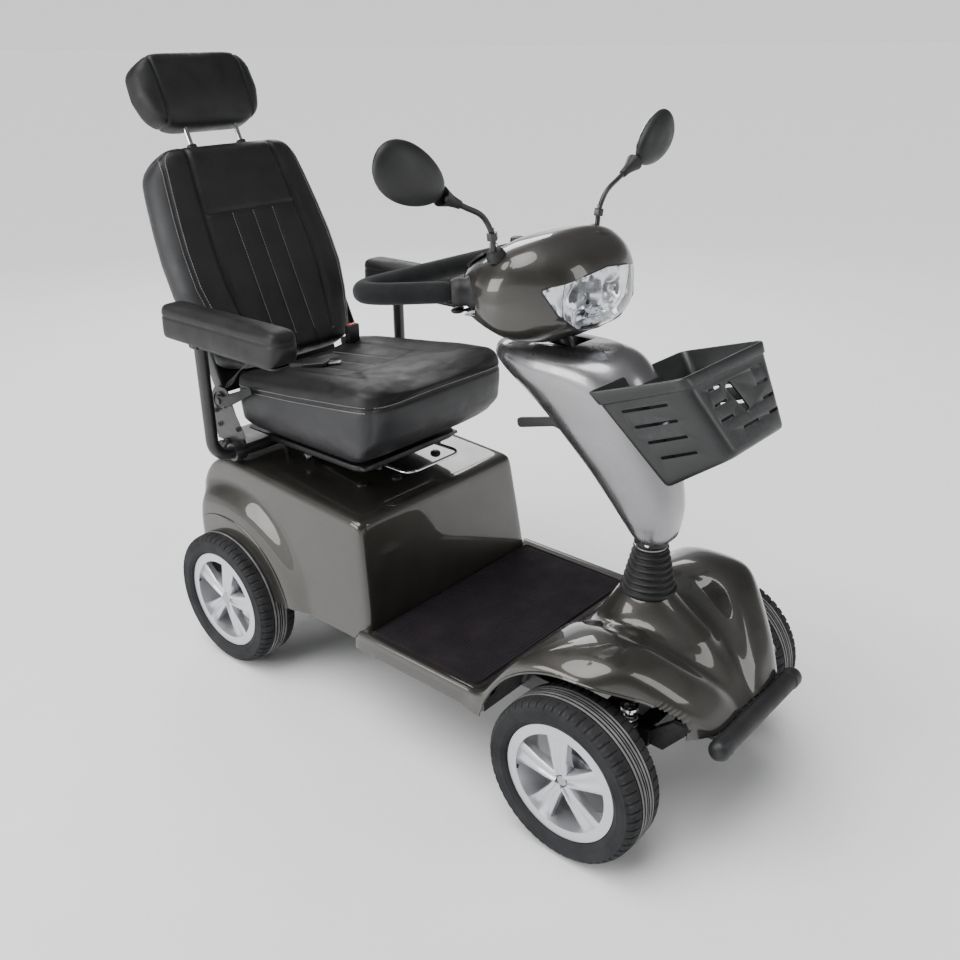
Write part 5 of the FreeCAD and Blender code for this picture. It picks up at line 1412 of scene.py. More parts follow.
def seat_details():
    """Base tray, recliner covers, belt, buckle and small hardware."""
    tray = slab(rounded_outline([(-60, -156, 20), (346, -156, 40), (346, 156, 40), (-60, 156, 20)]), 536, 550)
    bevelled(make("seat_tray", *tray, PLASTIC, "seat", "frame_steel"), 3.0, 3)
    for name, side in SIDES.items():
        cover = slab(rounded_outline([(-74, 560, 10), (-80, 640, 18), (-60, 672, 20), (-14, 672, 22), (2, 630, 16),
                                      (44, 560, 10)]), 229.2, 229.9 if side < 0 else 236.5, "Y")
        made = make(f"recliner_cover_{name}", *sided(cover, side), BLACK_STEEL, "seat", "frame_steel")
        if side > 0:
            bevelled(made, 2.4, 3)
        boss = turned([(0.01, -11), (9, -11), (11, -9), (12, -4), (20, -3), (21, 0)], 32, axis="Y",
                      at=(-40, 0, 0))
        make(f"recliner_boss_{name}", *sided(moved(boss, (0, 235.5, 640)), side), BLACK_STEEL, "seat",
             "frame_steel")
        screw = turned([(0.01, 8), (5, 8), (6, 6.5), (6, 0)], 6, axis="Y")
        parts = [moved(flipped(screw), (x, 234.6, z)) for x, z in ((-52, 580), (16, 582), (-60, 612))]
        make(f"recliner_screws_{name}", *sided(merged(parts), side), STEEL, "seat", "bare_steel")
        clamp = turned([(15, -16), (21, -15), (22, -12), (22, 12), (21, 15), (15, 16)], 40, axis="Y",
                       at=(10, 0, 530))
        make(f"arm_clamp_{name}", *sided(moved(flipped(clamp), (0, 236, 0)), side), BLACK_STEEL, "seat",
             "frame_steel")
        knob = []
        for k in range(6):
            a = k * math.pi / 3
            knob.append(ball((-33, 240 + 13 * math.cos(a), 530 + 13 * math.sin(a)), (11, 7, 7), 8, 12))
        stem, stem_faces = turned([(0.01, -50), (10, -49), (16, -44), (17, -36), (16, -28), (9, -24), (6, -12),
                                   (6, 4)], 36, axis="X", at=(0, 240, 530))
        knob.append((stem * np.array([-1, 1, 1]) + np.array([-62, 0, 0]), [f[::-1] for f in stem_faces]))
        make(f"arm_width_knob_{name}", *sided(merged(knob), side), PLASTIC, "seat", "black_plastic", sharp=60)
    straps()


def strap(name, path, width):
    """Seat-belt webbing as a thin ribbon along a path."""
    points = smooth_path(path, 60)
    tangents = np.gradient(points, axis=0)
    tangents /= np.linalg.norm(tangents, axis=1)[:, None]
    verts, faces = [], []
    for p, t in zip(points, tangents):
        across = np.cross(t, (0, 0, 1))
        across /= np.linalg.norm(across)
        up = np.cross(across, t)
        for a, b in ((-0.5, 0), (-0.25, 0.25), (0.25, 0.25), (0.5, 0), (0.25, -0.9), (-0.25, -0.9)):
            verts.append(p + across * width * a + up * b)
    for i in range(len(points) - 1):
        for k in range(6):
            j = (k + 1) % 6
            faces.append((i * 6 + k, i * 6 + j, (i + 1) * 6 + j, (i + 1) * 6 + k))
    faces.append(tuple(range(6))[::-1])
    faces.append(tuple((len(points) - 1) * 6 + k for k in range(6)))
    piece = make(name, np.array(verts), faces, WEBBING, "seat", "black_plastic")
    return piece


def lying(x, y):
    """Point just over the cushion."""
    return (x, y, float(cushion_top(x, y)) + 3.0)


def straps():
    """Lap belt lying open on the cushion, with its tongue and buckle."""
    right = [(-46, -205, 664), (-24, -196, 694), (2, -176, 720), lying(34, -140), lying(62, -104),
             lying(92, -74)]
    strap("belt_right", right, 38)
    left = [(-44, 168, 676), (-34, 156, 694), (-16, 142, 712), (0, 134, 719)]
    strap("belt_left", left, 30)
    tail = [lying(96, -66), lying(82, -30), lying(60, 2), lying(66, 34)]
    strap("belt_tail", tail, 36)
    x, y, z = lying(104, -62)
    tongue = slab(rounded_outline([(-30, -26, 8), (26, -24, 8), (32, 0, 10), (26, 24, 8), (-30, 26, 8)]), 0, 12)
    turn = rotation("Z", 40) @ rotation("Y", -3)
    plate = make("belt_tongue_housing", *moved(tongue, (x, y, z - 1), turn), PLASTIC, "seat", "black_plastic")
    bevelled(plate, 3.0, 3)
    blade = slab(rounded_outline([(28, -10, 3), (58, -10, 5), (58, 10, 5), (28, 10, 3)]), 4, 7)
    bevelled(make("belt_tongue", *moved(blade, (x, y, z - 1), turn), STEEL, "seat", "bare_steel"), 0.6)
    case = slab(rounded_outline([(7, 115, 3), (25, 115, 3), (25, 149, 3), (7, 149, 3)]), 708.4, 751.6)
    shell = make("buckle_shell", *case, PLASTIC, "seat", "black_plastic", ["belt_buckle"])
    carved(shell, [cutter(*block((11, 120, 738), (21, 144, 760)))])
    bevelled(shell, 1.2)
    button = slab(rounded_outline([(11.4, 120.4, 1.5), (20.6, 120.4, 1.5), (20.6, 143.6, 1.5), (11.4, 143.6, 1.5)]),
                  741, 753.6)
    bevelled(make("buckle_push", *button, RED, "buckle_button", "button_red", ["buckle_button"]), 1.0, 3)


# ------------------------------------------------------------------ wheels
def rim_mesh():
    """Five-spoke alloy, local y outwards from the wheel's middle plane."""
    barrel = [(99, -41), (112, -42), (118.6, -41), (118.8, -37), (112, -34), (106, -28), (104.5, -14), (104.5, 20),
              (106, 30), (112, 34.5), (118.4, 37.5), (118.9, 41), (117.5, 43.2), (113.5, 43.6), (109.5, 41.5),
              (107.4, 36), (104.6, 31), (101.5, 28), (99.5, 18), (98, 0)]
    parts = [flipped(turned(barrel, 120, closed=True, axis="Y"))]
    stations = [(12, 13, 34, 26), (22, 13.5, 35, 26), (36, 15, 35.5, 22), (54, 17.5, 35, 18), (72, 20.5, 34, 16),
                (88, 23.5, 33, 15), (98, 27, 33, 14), (104, 31, 33.5, 14)]
    shape = [(-1, -1), (-1, -0.25), (-0.9, -0.05), (-0.62, 0.1), (-0.42, 0.06), (-0.22, -0.22), (0, -0.30),
             (0.22, -0.22), (0.42, 0.06), (0.62, 0.1), (0.9, -0.05), (1, -0.25), (1, -1)]
    n = len(shape)
    for k in range(5):
        a = math.radians(90 + 72 * k)
        out = np.array([math.cos(a), 0, math.sin(a)])
        across = np.array([-math.sin(a), 0, math.cos(a)])
        verts, faces = [], []
        for r, w, face, deep in stations:
            for u, v in shape:
                level = face + v * deep * (0.5 if v > -0.9 else 1)
                verts.append(out * r + across * (w * u) + np.array([0, level, 0]))
        for i in range(len(stations) - 1):
            for j in range(n):
                m = (j + 1) % n
                faces.append((i * n + j, i * n + m, (i + 1) * n + m, (i + 1) * n + j))
        faces.append(tuple(range(n))[::-1])
        faces.append(tuple((len(stations) - 1) * n + j for j in range(n)))
        parts.append((np.array(verts), faces))
    hub = [(0.01, 43.6), (8, 43.2), (13, 41.6), (15.5, 39), (16, 37.2), (31, 36.8), (34.5, 34.5), (36, 30), (36, 6),
           (20, 2), (0.01, 2)]
    parts.append(flipped(turned(hub, 64, axis="Y")))
    return merged(parts)


def bolts_mesh():
    """Five wheel nuts round the hub."""
    parts = []
    for k in range(5):
        a = math.radians(126 + 72 * k)
        nut = turned([(0.01, 42.4), (3.8, 42.0), (4.8, 40.6), (4.8, 35), (0.01, 35)], 6, axis="Y")
        parts.append(moved(flipped(nut), (24.5 * math.cos(a), 0, 24.5 * math.sin(a))))
    return merged(parts)


def tyre_mesh():
    """Casing with four thin ribs round the crown, stepped shoulder blocks and sidewall rings."""
    half = [(107, 31), (112, 33.5), (118.8, 36), (120.2, 41), (121.5, 44.2), (125, 46.5), (129, 48.4), (130.5, 49.3),
            (132, 48.7), (138, 49.6), (144, 49.8), (149, 49.3), (150.6, 49.9), (152, 48.9), (154, 48.0), (157, 46.3),
            (159.5, 43.6), (161.4, 40), (162.6, 36), (163.4, 31), (163.9, 26), (164.2, 22), (164.3, 20.6),
            (160.8, 20.3), (160.8, 17.7), (164.6, 17.4), (164.8, 12.6), (161.2, 12.3), (161.2, 9.3), (164.9, 9.0),
            (165.0, 4.4), (161.4, 4.1), (161.4, 1.2), (165.0, 0.9)]
    profile = half + [(r, -y) for r, y in half[::-1]]
    n = len(profile)
    blocks, per = 54, 8
    segments = blocks * per
    verts = np.zeros((segments, n, 3))
    for s in range(segments):
        a = 2 * math.pi * s / segments
        step = s % per
        for k, (r, y) in enumerate(profile):
            depth = 0.0
            if abs(y) > 21 and r > 153:
                late = (step + (per // 2 if y < 0 else 0)) % per
                wide = 2 if abs(y) > 34 else 1
                if late < wide:
                    depth = 3.6 * min(1.0, (abs(y) - 19) / 6) * min(1.0, max(0.0, (r - 150) / 6))
            rr = r - depth * (0.8 if abs(y) < 42 else 0.5)
            yy = y - math.copysign(depth * (0.1 if abs(y) < 42 else 0.6), y)
            verts[s, k] = (rr * math.cos(a), yy, rr * math.sin(a))
    faces = []
    for s in range(segments):
        t = (s + 1) % segments
        for k in range(n - 1):
            faces.append((s * n + k, s * n + k + 1, t * n + k + 1, t * n + k))
        faces.append((s * n + n - 1, s * n, t * n, t * n + n - 1))
    tread_faces = []
    for index in range(len(faces)):
        k = index % n
        middle = 0.5 * (profile[k][1] + profile[(k + 1) % n][1])
        high = min(profile[k][0], profile[(k + 1) % n][0]) > 163.5
        tread_faces.append(2 if abs(middle) < 20.5 and high else 1 if 15 <= k <= n - 17 else 0)
    return verts.reshape(-1, 3), faces, tread_faces


def wheels():
    """Alloy rims, nuts, valves and tyres, right and left alike."""
    rim, bolts = rim_mesh(), bolts_mesh()
    tyre_verts, tyre_faces, tread = tyre_mesh()
    valve = swept([(-104, 33, 0), (-99, 37, 0), (-95, 42, 0)], [3.4, 2.8, 2.2], 10)
    for end, x in (("rear", 0.0), ("front", FRONT_X)):
        for name, side in SIDES.items():
            body = f"wheel_{end}_{name}"
            shift = (x, side * TRACK, HUB_Z)
            turn = rotation("Y", 11 if end == "rear" else -8)

            def placed(part):
                verts = np.asarray(part[0]) @ turn.T
                if side < 0:
                    verts = verts * np.array([1, -1, 1])
                    return verts + shift, [tuple(f)[::-1] for f in part[1]]
                return verts + shift, part[1]

            make(f"alloy_{end}_{name}", *placed(rim), ALLOY, body, "rim_silver", [f"rim_{end}_{name}"], sharp=32)
            make(f"wheel_bolts_{end}_{name}", *placed(bolts), CHROME, body, "bare_steel")
            make(f"valve_{end}_{name}", *placed(valve), RUBBER, body, "tyre_rubber")
            piece = make(f"tyre_casing_{end}_{name}", *placed((tyre_verts, tyre_faces)), TYRE, body, "tyre_rubber",
                         [f"tyre_{end}_{name}"], sharp=38)
            piece.data.materials.append(TREAD)
            piece.data.materials.append(WORN)
            piece.data.polygons.foreach_set("material_index", tread)


# ------------------------------------------------------------------ basket
def basket_ring_points(t, inset=0.0, flare=0.0):
    """Rounded ring of the basket at a height share from floor to rim."""
    bottom = ((1052, 690), (1170, 776), 104, 100, 20)
    top = ((922, 850), (1090, 906), 156, 142, 18)
    mix = lambda a, b: a + (b - a) * t
    rear = np.array([mix(bottom[0][i], top[0][i]) for i in (0, 1)], float)
    front = np.array([mix(bottom[1][i], top[1][i]) for i in (0, 1)], float)
    slope = (front - rear) / np.linalg.norm(front - rear)
    rear = rear + slope * (inset - flare)
    front = front - slope * (inset - flare)
    length = float(np.linalg.norm(front - rear))
    rear_half, front_half = mix(bottom[2], top[2]) - inset + flare, mix(bottom[3], top[3]) - inset + flare
    radius = mix(bottom[4], top[4]) - inset
    ring = rounded_outline([(0, -rear_half, radius), (length, -front_half, radius * 1.25),
                            (length, front_half, radius * 1.25), (0, rear_half, radius)], 9)
    bowed = []
    for u, y in ring:
        out = 5.0 * (1 - (y / front_half) ** 2) if u > length * 0.97 else 0.0
        bowed.append((rear[0] + slope[0] * (u + out), y, rear[1] + slope[1] * (u + out)))
    return bowed


def basket():
    """Slotted basket with its bracket and screws."""
    rings = []
    levels = [(0.0, 6.5, 0), (0.012, 2.2, 0), (0.035, 0.4, 0), (0.08, 0, 0), (0.3, 0, 0), (0.55, 0, 0), (0.8, 0, 0),
              (0.862, 0, 0), (0.872, 0, 2.4), (0.93, 0, 2.8), (0.985, 0, 3.0), (1.0, 0, 1.6), (1.0, 1.6, 0),
              (0.985, 3.2, 0), (0.8, 3.2, 0), (0.5, 3.2, 0), (0.2, 3.2, 0), (0.06, 3.4, 0), (0.045, 6.0, 0)]
    for t, inset, flare in levels:
        rings.append(basket_ring_points(t, inset, flare))
    n = len(rings[0])
    verts = [v for ring in rings for v in ring]
    faces = [(k * n + i, k * n + (i + 1) % n, (k + 1) * n + (i + 1) % n, (k + 1) * n + i)
             for k in range(len(rings) - 1) for i in range(n)]
    faces.append(tuple(range(n))[::-1])
    faces.append(tuple((len(rings) - 1) * n + i for i in range(n)))
    shell = make("basket_shell", np.array(verts), faces, BASKET, "tiller", "basket_plastic", ["basket"],
                 sharp=28)

    def slot_bar(centre, turn, length, tall, thick, y_turn):
        outline = rounded_outline([(-length / 2, -tall / 2, tall / 2.2), (length / 2, -tall / 2, tall / 2.2),
                                   (length / 2, tall / 2, tall / 2.2), (-length / 2, tall / 2, tall / 2.2)], 5)
        verts, faces = slab(outline, -thick, thick, "Y")
        verts = verts @ rotation("Z", y_turn).T @ rotation("Y", turn).T
        return cutter(verts + np.array(centre, float), faces)

    cutters = []
    for row in range(4):
        t = 0.76 - 0.175 * row
        ring = np.array(basket_ring_points(t))
        side = ring[ring[:, 1] < 0]
        low, high = side[:, 0].min(), side[:, 0].max()
        middle = np.array([low + (high - low) * 0.46, 0, 0])
        middle[2] = np.interp(middle[0], np.sort(side[:, 0]), side[np.argsort(side[:, 0]), 2])
        middle[1] = -abs(side[:, 1]).max() + 4
        tilt = -18.5 - 5.0 * (1 - t)
        for sign in (-1, 1):
            cutters.append(slot_bar((middle[0], sign * middle[1], middle[2]), tilt, 86 - 6 * row, 6.0, 18,
                                    sign * -4))
        front = ring[ring[:, 0] > high - 4].mean(0)
        for y, span in ((80, 40), (-6, 52)) if row == 3 else ((-66, 40), (80, 40)):
            outline = rounded_outline([(y - span / 2, -2.8, 2.4), (y + span / 2, -2.8, 2.4),
                                       (y + span / 2, 2.8, 2.4), (y - span / 2, 2.8, 2.4)], 5)
            verts, faces = slab(outline, -14, 14, "X")
            verts = verts @ rotation("Y", -22).T + np.array([front[0], 0, front[2]])
            cutters.append(cutter(verts, faces))
    hole = rounded_outline([(-28, 26, 8), (-6, 33, 7), (8, 4, 8), (20, -24, 5), (10, -30, 5), (-8, -6, 10)], 7)
    verts, faces = slab(hole, -14, 14, "X")
    ring = np.array(basket_ring_points(0.56))
    front = ring[ring[:, 0] > ring[:, 0].max() - 4].mean(0)
    cutters.append(cutter(verts @ rotation("Y", -22).T + np.array([front[0], -10, front[2] - 2]), faces))
    carved(shell, cutters, sharp=28)
    bevelled(shell, 0.7, 2, 40)
    wedge = rounded_outline([(984, 750, 0), (1022, 690, 8), (1056, 693, 2), (950, 838, 2), (936, 826, 8)], 5)
    bracket = make("basket_bracket", *slab(wedge, -38, 38, "Y"), PLASTIC, "tiller", "basket_plastic")
    carved(bracket, [cutter(*tiller_skin())])
    bevelled(bracket, 1.2, 2, 40)
    screws = []
    for y in (-22, 22):
        screw = turned([(0.01, 4), (5, 3.8), (7.5, 2), (8, 0)], 28)
        screws.append(moved(screw, (1000, y, 772), rotation("Y", -36)))
    make("basket_screws", *merged(screws), STEEL, "tiller", "bare_steel")


# ------------------------------------------------------------------ handlebar, levers, mirrors
def handlebar():
    """Foam grip over the delta bar, from inside the nacelle round to its other side."""
    (near_x, near_y), (far_x, far_y) = BAR_ENDS
    loop = rounded_outline([(near_x, -near_y, 30), (far_x, -far_y, 46), (far_x, far_y, 46),
                            (near_x, near_y, 30)], 16)
    run = np.array([near_x - far_x, near_y - far_y])
    x, y = np.array(BAR_ENDS[1]) + run / math.hypot(*run) * BAR_REACH
    line = np.array([(x, -y, BAR_Z)] + [(a, b, BAR_Z) for a, b in loop if a < 640] + [(x, y, BAR_Z)])
    dense = []
    for a, b in zip(line, line[1:]):
        steps = max(1, int(np.linalg.norm(b - a) / 7))
        for s in range(steps):
            dense.append(a + (b - a) * s / steps)
    dense.append(line[-1])
    dense = np.array(dense)
    radii = np.full(len(dense), 19.9)
    radii[0] = radii[-1] = 16.5
    radii[1] = radii[-2] = 19.2
    make("foam_grip", *swept(dense, radii, 32), FOAM, "tiller", "foam_grip", ["handlebar_grip"], sharp=60)


def levers():
    """Throttle paddle, brake and tilt levers, key, speed dial and horn button."""
    bar = rounded_outline([(692, -11, 5), (658, -60, 20), (643, -167, 6), (625, -167, 6), (641, -50, 20),
                           (669, 0, 4), (641, 50, 20), (625, 167, 6), (643, 167, 6), (658, 60, 20),
                           (692, 11, 5)], 7)
    lever = make("throttle_paddle", *slab(bar, 942.8, 949.2), CHROME, "wigwag_lever", "chrome", ["wigwag_lever"])
    bevelled(lever, 2.2, 3)
    tips = []
    for y in (-157, 157):
        tips.append(ball((634, y, 946), (11, 17, 6.2), 12, 20))
    make("throttle_tips", *merged(tips), PLASTIC, "wigwag_lever", "black_plastic", sharp=60)
    blade = rounded_outline([(724, -54, 7), (696, -58, 10), (630, -116, 12), (634, -146, 10), (668, -138, 18),
                             (723, -76, 7)], 7)
    bevelled(make("brake_blade", *slab(blade, 932.8, 936.2), STEEL, "brake_lever", "bare_steel",
                  ["brake_lever"]), 1.4)
    knob = rounded_outline([(778, 692, 8), (742, 700, 20), (652, 676, 10), (648, 696, 9), (738, 718, 20),
                            (778, 712, 8)], 8)
    paddle = make("tilt_paddle", *slab(knob, -5, 5, "Y"), PLASTIC, "tilt_lever", "black_plastic", ["tilt_lever"])
    bevelled(paddle, 2.2, 3)
    key = [swept([(645, -70, 1021), (645, -70, 1041)], 4.3, 20)]
    bow = rounded_outline([(636.5, 1040, 3), (653.5, 1040, 3), (655.5, 1052, 6), (645, 1060, 6),
                           (634.5, 1052, 6)], 6)
    key.append(slab(bow, -71.6, -68.4, "Y"))
    bevelled(make("key_blade", *merged(key), STEEL, "ignition_key", "bare_steel", ["ignition_key"]), 0.5)
    base = dash_height(DASH_X)
    dial = [(0.01, base + 23.4), (11, base + 23.2), (13.4, base + 21.6), (14.2, base + 19)]
    dial += [(14.8, base + 10), (14.4, base + 9.6), (4.4, base + 9.6), (4.4, base - 9)]
    verts, faces = turned(dial, 48, at=(645, 0, 0))
    reach = np.hypot(verts[:, 0] - 645, verts[:, 1])
    angle = np.arctan2(verts[:, 1], verts[:, 0] - 645)
    scale = np.where((reach > 12) & (verts[:, 2] < base + 22), 1 - 0.03 * (np.cos(angle * 16) > 0), 1)
    verts[:, 0] = 645 + (verts[:, 0] - 645) * scale
    verts[:, 1] *= scale
    make("dial_knob", verts, faces, PLASTIC, "speed_dial", "black_plastic", ["speed_dial"])
    horn = turned([(0.01, base + 9.8), (5, base + 9.4), (6.6, base + 8), (6.9, base + 6), (6.9, base - 7)], 32,
                  at=(645, 70, 0))
    make("horn_cap", *horn, PLASTIC, "horn_button", "black_plastic", ["horn_button"])


def mirrors():
    """Mirror arms, heads, panes and boots."""
    foot, bend, tip = (np.array(v, float) for v in ((717, 150, 1030), (717, 164, 1118), (714, 268, 1163)))
    for name, side in SIDES.items():
        path = smooth_path([foot, foot + (bend - foot) * 0.45, bend + (foot - bend) * 0.28,
                            bend + (tip - bend) * 0.22 + np.array([0, -3, -3]), bend + (tip - bend) * 0.6, tip], 40)
        rod = [swept(path, 4.9, 20)]
        axis = (bend - foot) / np.linalg.norm(bend - foot)
        nut = turned([(4, 0), (9.4, 0), (9.9, 1.2), (9.9, 12.6), (9.4, 14), (5, 14), (5, 20), (4, 21)], 6)
        turn = Vector((0, 0, 1)).rotation_difference(Vector(axis)).to_matrix()
        rod.append(moved(nut, foot + axis * 52, turn))
        make(f"mirror_arm_rod_{name}", *sided(merged(rod), side), BLACK_STEEL, f"mirror_arm_{name}", "frame_steel",
             [f"mirror_stem_{name}"])
        rows, around = 40, 48
        verts, faces = [], []
        for i in range(rows + 1):
            a = -math.cos(math.pi * i / rows)
            half = 45.5 * math.sqrt(max(1e-6, 1 - a * a)) ** 0.92 * (1 + 0.16 * a)
            deep = 22 * math.sqrt(max(1e-6, 1 - a * a)) ** 0.85
            for j in range(around):
                t = 2 * math.pi * j / around
                c, s = math.cos(t), math.sin(t)
                x = c * deep if c > 0 else c * min(6.0, deep * 0.6)
                verts.append((x, 74.5 * a, half * s * (abs(s) ** -0.06 if abs(s) > 0.01 else 1)))
        for i in range(rows):
            for j in range(around):
                k = (j + 1) % around
                faces.append((i * around + j, i * around + k, (i + 1) * around + k, (i + 1) * around + j))
        turn = rotation("Z", 4) @ rotation("X", 24)
        shell = moved((np.array(verts), faces), (714, 352, 1208), turn)
        make(f"mirror_shell_{name}", *sided(shell, side), PLASTIC, f"mirror_{name}", "black_plastic",
             [f"mirror_head_{name}"], sharp=50)
        glass_verts, glass_faces = [], []
        for i in range(rows + 1):
            a = -math.cos(math.pi * i / rows) * 0.93
            half = 41 * math.sqrt(max(1e-6, 1 - (a / 0.93) ** 2)) ** 0.92 * (1 + 0.16 * a)
            for u in np.linspace(-1, 1, 21):
                glass_verts.append((-7.2 + 0.9 * (a * a + u * u * 0.4), 74.5 * a, half * u))
        for i in range(rows):
            for j in range(20):
                glass_faces.append((i * 21 + j, i * 21 + j + 1, (i + 1) * 21 + j + 1, (i + 1) * 21 + j))
        glass = moved((np.array(glass_verts), glass_faces), (714, 352, 1208), turn)
        pane = make(f"mirror_glass_{name}", *sided(glass, side), MIRROR, f"mirror_{name}", "chrome")
        thickened(pane, 1.2, 0)
        reach = (tip - bend) / np.linalg.norm(tip - bend)
        boot = turned([(5.2, -34), (7.5, -32), (8.5, -20), (10.5, -8), (14, 4), (17, 14)], 28)
        turn = Vector((0, 0, 1)).rotation_difference(Vector(reach)).to_matrix()
        make(f"mirror_boot_{name}", *sided(moved(boot, tip + reach, turn), side), RUBBER, f"mirror_{name}",
             "black_plastic", sharp=60)


def seat_levers():
    """Recline handle and swivel knob."""
    blade = rounded_outline([(-53, 628, 8), (-53, 652, 8), (-20, 654, 20), (84, 700, 6), (90, 684, 6),
                             (-8, 632, 20)], 8)
    handle = make("recline_handle", *slab(blade, -237.8, -230.2, "Y"), PLASTIC, "recline_lever", "black_plastic",
                  ["recline_lever"])
    bevelled(handle, 2.0, 3)
    ball_low, ball_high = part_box("swivel_lever")
    centre = (np.array(ball_low) + np.array(ball_high)) / 2 / MM - np.array([AXLE_X, 0, 0])
    y = ball_low.y / MM + 10
    knob = turned([(0.01, -9.8), (4, -9.4), (8.4, -5), (9.9, 0), (8.8, 4.6), (6, 8), (4.4, 9.6)], 32, axis="Y",
                  at=(centre[0], 0, centre[2]))
    parts = [moved(flipped(knob), (0, y, 0)),
             swept([(centre[0], y + 6, centre[2]), (centre[0], -104, centre[2])], 4, 16),
             swept([(centre[0] - 14, -106, centre[2]), (centre[0] + 14, -106, centre[2])], 3, 16)]
    make("swivel_knob", *merged(parts), STEEL, "swivel_lever", "bare_steel", ["swivel_lever"])


def rear_details():
    """Tail lamps in black frames."""
    x, y = -166, 150
    for name, side in SIDES.items():
        plate = slab(rounded_outline([(y - 34, 300, 8), (y + 34, 300, 10), (y + 30, 340, 10), (y - 34, 340, 8)], 6),
                     x - 10, x + 10, "X")
        made = make(f"tail_lamp_{name}", *sided(plate, side), RED_LENS, "chassis", "button_red")
        bevelled(made, 3.0, 3)
        outline = rounded_outline([(y - 38, 296, 9), (y + 38, 296, 12), (y + 34, 344, 12), (y - 38, 344, 9)], 6)
        frame_part = slab(outline, x - 5, x + 12, "X")
        made = make(f"tail_lamp_frame_{name}", *sided(frame_part, side), PLASTIC, "chassis", "black_plastic")
        bevelled(made, 2.0, 2)


# ------------------------------------------------------------------ CAD nodes that stay
def finish_nodes():
    """Give each CAD node that still shows its own material."""
    chosen = {"chassis_frame": BLACK_STEEL, "front_axle_beam": BLACK_STEEL, "transaxle_housing": CAST,
              "drive_motor": BLACK_STEEL, "motor_controller": CAST, "batteries": BATTERY, "knuckle_right": STEEL,
              "knuckle_left": STEEL, "tie_rod_right": STEEL, "tie_rod_left": STEEL, "steering_column": STEEL,
              "axle_shaft_right": STEEL, "axle_shaft_left": STEEL, "bumper_bracket": BLACK_STEEL,
              "tiller_frame": BLACK_STEEL, "handlebar_tube": BLACK_STEEL, "seat_post": BLACK_STEEL,
              "swivel_plate": GREY_STEEL, "seat_pan": BLACK_STEEL, "headrest_posts": CHROME,
              "arm_tube_right": BLACK_STEEL, "arm_tube_left": BLACK_STEEL, "slide_handle": CHROME}
    for name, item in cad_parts.items():
        if name in chosen:
            item.data.materials.clear()
            item.data.materials.append(chosen[name])


def underbody():
    """Springs, dampers and their seats, seen through the front wheel arches."""
    for name, side in SIDES.items():
        turns = []
        for t in np.linspace(0, 1, 150):
            a = t * 2 * math.pi * 6
            turns.append((1040 + 15 * math.cos(a), 150 + 15 * math.sin(a), 158 + 96 * t))
        make(f"front_spring_{name}", *sided(swept(turns, 2.8, 10), side), GREY_STEEL, "chassis", "frame_steel",
             sharp=60)
        damper = [turned([(0.01, 150), (7, 150), (7, 205), (10, 206), (10, 262), (0.01, 264)], 28,
                         at=(1040, 150, 0))]
        damper.append(turned([(0.01, 150), (17, 150), (17, 155), (0.01, 155)], 32, at=(1040, 150, 0)))
        damper.append(turned([(0.01, 256), (17, 256), (17, 261), (0.01, 261)], 32, at=(1040, 150, 0)))
        make(f"front_damper_{name}", *sided(merged(damper), side), CHROME, "chassis", "chrome")
        plate = slab(rounded_outline([(1022, 110, 8), (1058, 110, 8), (1062, 176, 8), (1020, 176, 8)]), 144, 150)
        bevelled(make(f"front_seat_plate_{name}", *sided(plate, side), BLACK_STEEL, "chassis", "frame_steel"), 1.2)


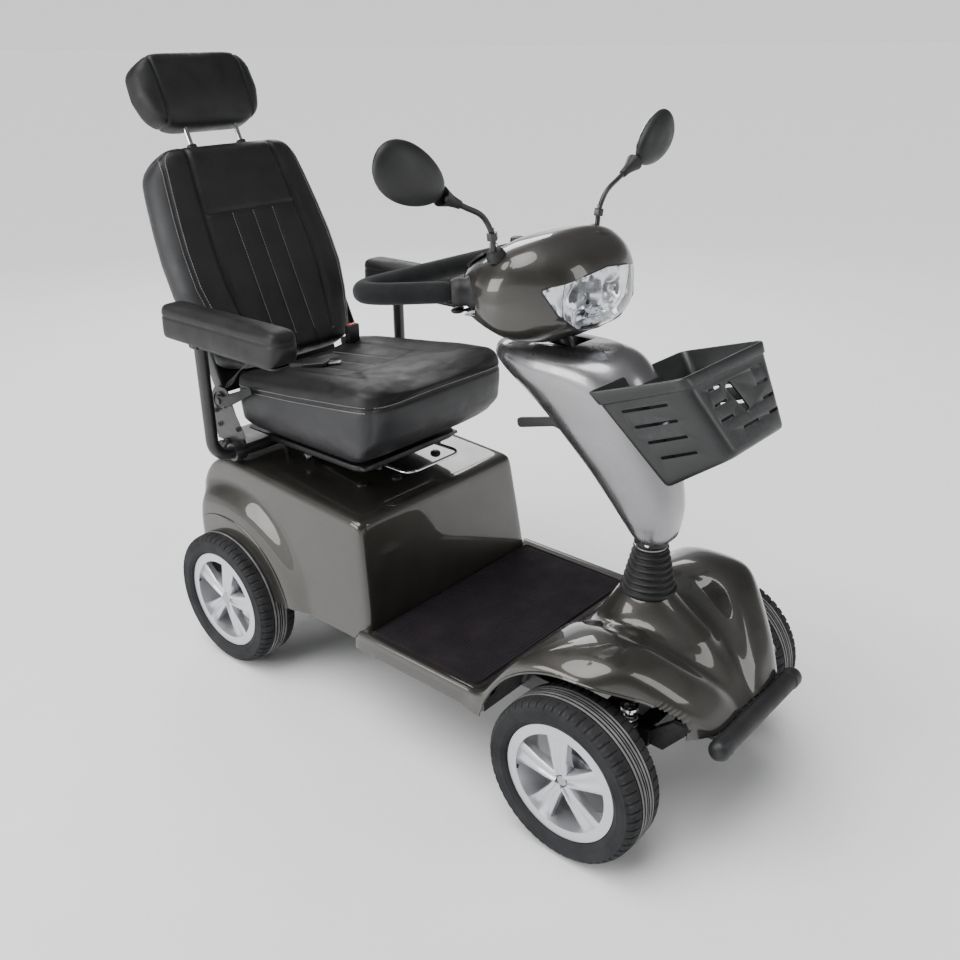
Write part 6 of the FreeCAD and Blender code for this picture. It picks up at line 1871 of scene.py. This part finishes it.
# ------------------------------------------------------------------ stage
def stage():
    """Pale floor, sky and studio lights."""
    floor_mesh = bpy.data.meshes.new("floor")
    reach = 400
    floor_mesh.from_pydata([(-reach, -reach, 0), (reach, -reach, 0), (reach, reach, 0), (-reach, reach, 0)], [],
                           [(0, 1, 2, 3)])
    floor = bpy.data.objects.new("floor", floor_mesh)
    bpy.context.scene.collection.objects.link(floor)
    pale = surface("floor", (0.93, 0.93, 0.93), rough=0.7, tint=0.01, grain=("noise", 60.0, 0.02, 0.0002),
                   specular=0.1)
    floor_mesh.materials.append(pale)

    world = bpy.data.worlds.new("studio")
    bpy.context.scene.world = world
    world.use_nodes = True
    tree = world.node_tree
    background = tree.nodes["Background"]
    background.inputs["Strength"].default_value = 1.0
    place = tree.nodes.new("ShaderNodeTexCoord")
    split = tree.nodes.new("ShaderNodeSeparateXYZ")
    ramp = tree.nodes.new("ShaderNodeValToRGB")
    tree.links.new(place.outputs["Generated"], split.inputs[0])
    tree.links.new(split.outputs["Z"], ramp.inputs["Fac"])
    tree.links.new(ramp.outputs["Color"], background.inputs["Color"])
    first, last = ramp.color_ramp.elements
    first.position, first.color = 0.0, (1.06, 1.06, 1.06, 1)
    last.position, last.color = 1.0, (0.5, 0.52, 0.56, 1)
    for spot, shade in ((0.06, 1.02), (0.15, 0.30), (0.34, 0.12), (0.62, 0.16), (0.8, 0.3)):
        stop = ramp.color_ramp.elements.new(spot)
        stop.color = (shade, shade, shade * 1.02, 1)

    sun = bpy.data.lights.new("overhead", "SUN")
    sun.energy = 3.3
    sun.angle = math.radians(50)
    lamp = bpy.data.objects.new("overhead", sun)
    bpy.context.scene.collection.objects.link(lamp)
    lamp.rotation_euler = Vector((0.25, 0.55, -1.5)).to_track_quat("-Z", "Y").to_euler()

    def panel(name, at, aim, size, power):
        light = bpy.data.lights.new(name, "AREA")
        light.shape = "RECTANGLE"
        light.size, light.size_y = size
        light.energy = power
        lamp = bpy.data.objects.new(name, light)
        bpy.context.scene.collection.objects.link(lamp)
        lamp.location = at
        lamp.rotation_euler = (Vector(aim) - Vector(at)).to_track_quat("-Z", "Y").to_euler()

    panel("side", (-1.2, -3.6, 1.7), (-0.1, 0, 0.55), (2.6, 1.6), 95)
    panel("fill", (3.4, 1.6, 2.4), (0.3, 0, 0.6), (1.2, 1.8), 26)
    panel("back", (-3.0, 2.4, 2.8), (0, 0, 0.6), (2.4, 1.4), 60)


def camera():
    """Camera at the photograph's angle."""
    lens = bpy.data.cameras.new("camera")
    lens.sensor_width = 36
    lens.lens = 36 * 1004.78 / 960
    lens.clip_end = 100
    item = bpy.data.objects.new("camera", lens)
    bpy.context.scene.collection.objects.link(item)
    forward = Vector((-0.59964852, 0.68832402, -0.40820546))
    right = Vector((0.75643679, 0.65401303, -0.00838627))
    up = right.cross(forward)
    axes = Matrix((right, up, -forward)).transposed()
    item.matrix_world = Matrix.Translation((1.8411 + AXLE_X * MM, -1.4871, 1.4095)) @ axes.to_4x4()
    bpy.context.scene.camera = item


camera()
stage()
finish_nodes()
body_covers()
bonnet()
bellows()
tiller()
head()
basket()
handlebar()
levers()
mirrors()
wheels()
backrest()
headrest()
cushion()
arm_pads()
seat_details()
seat_levers()
rear_details()
underbody()
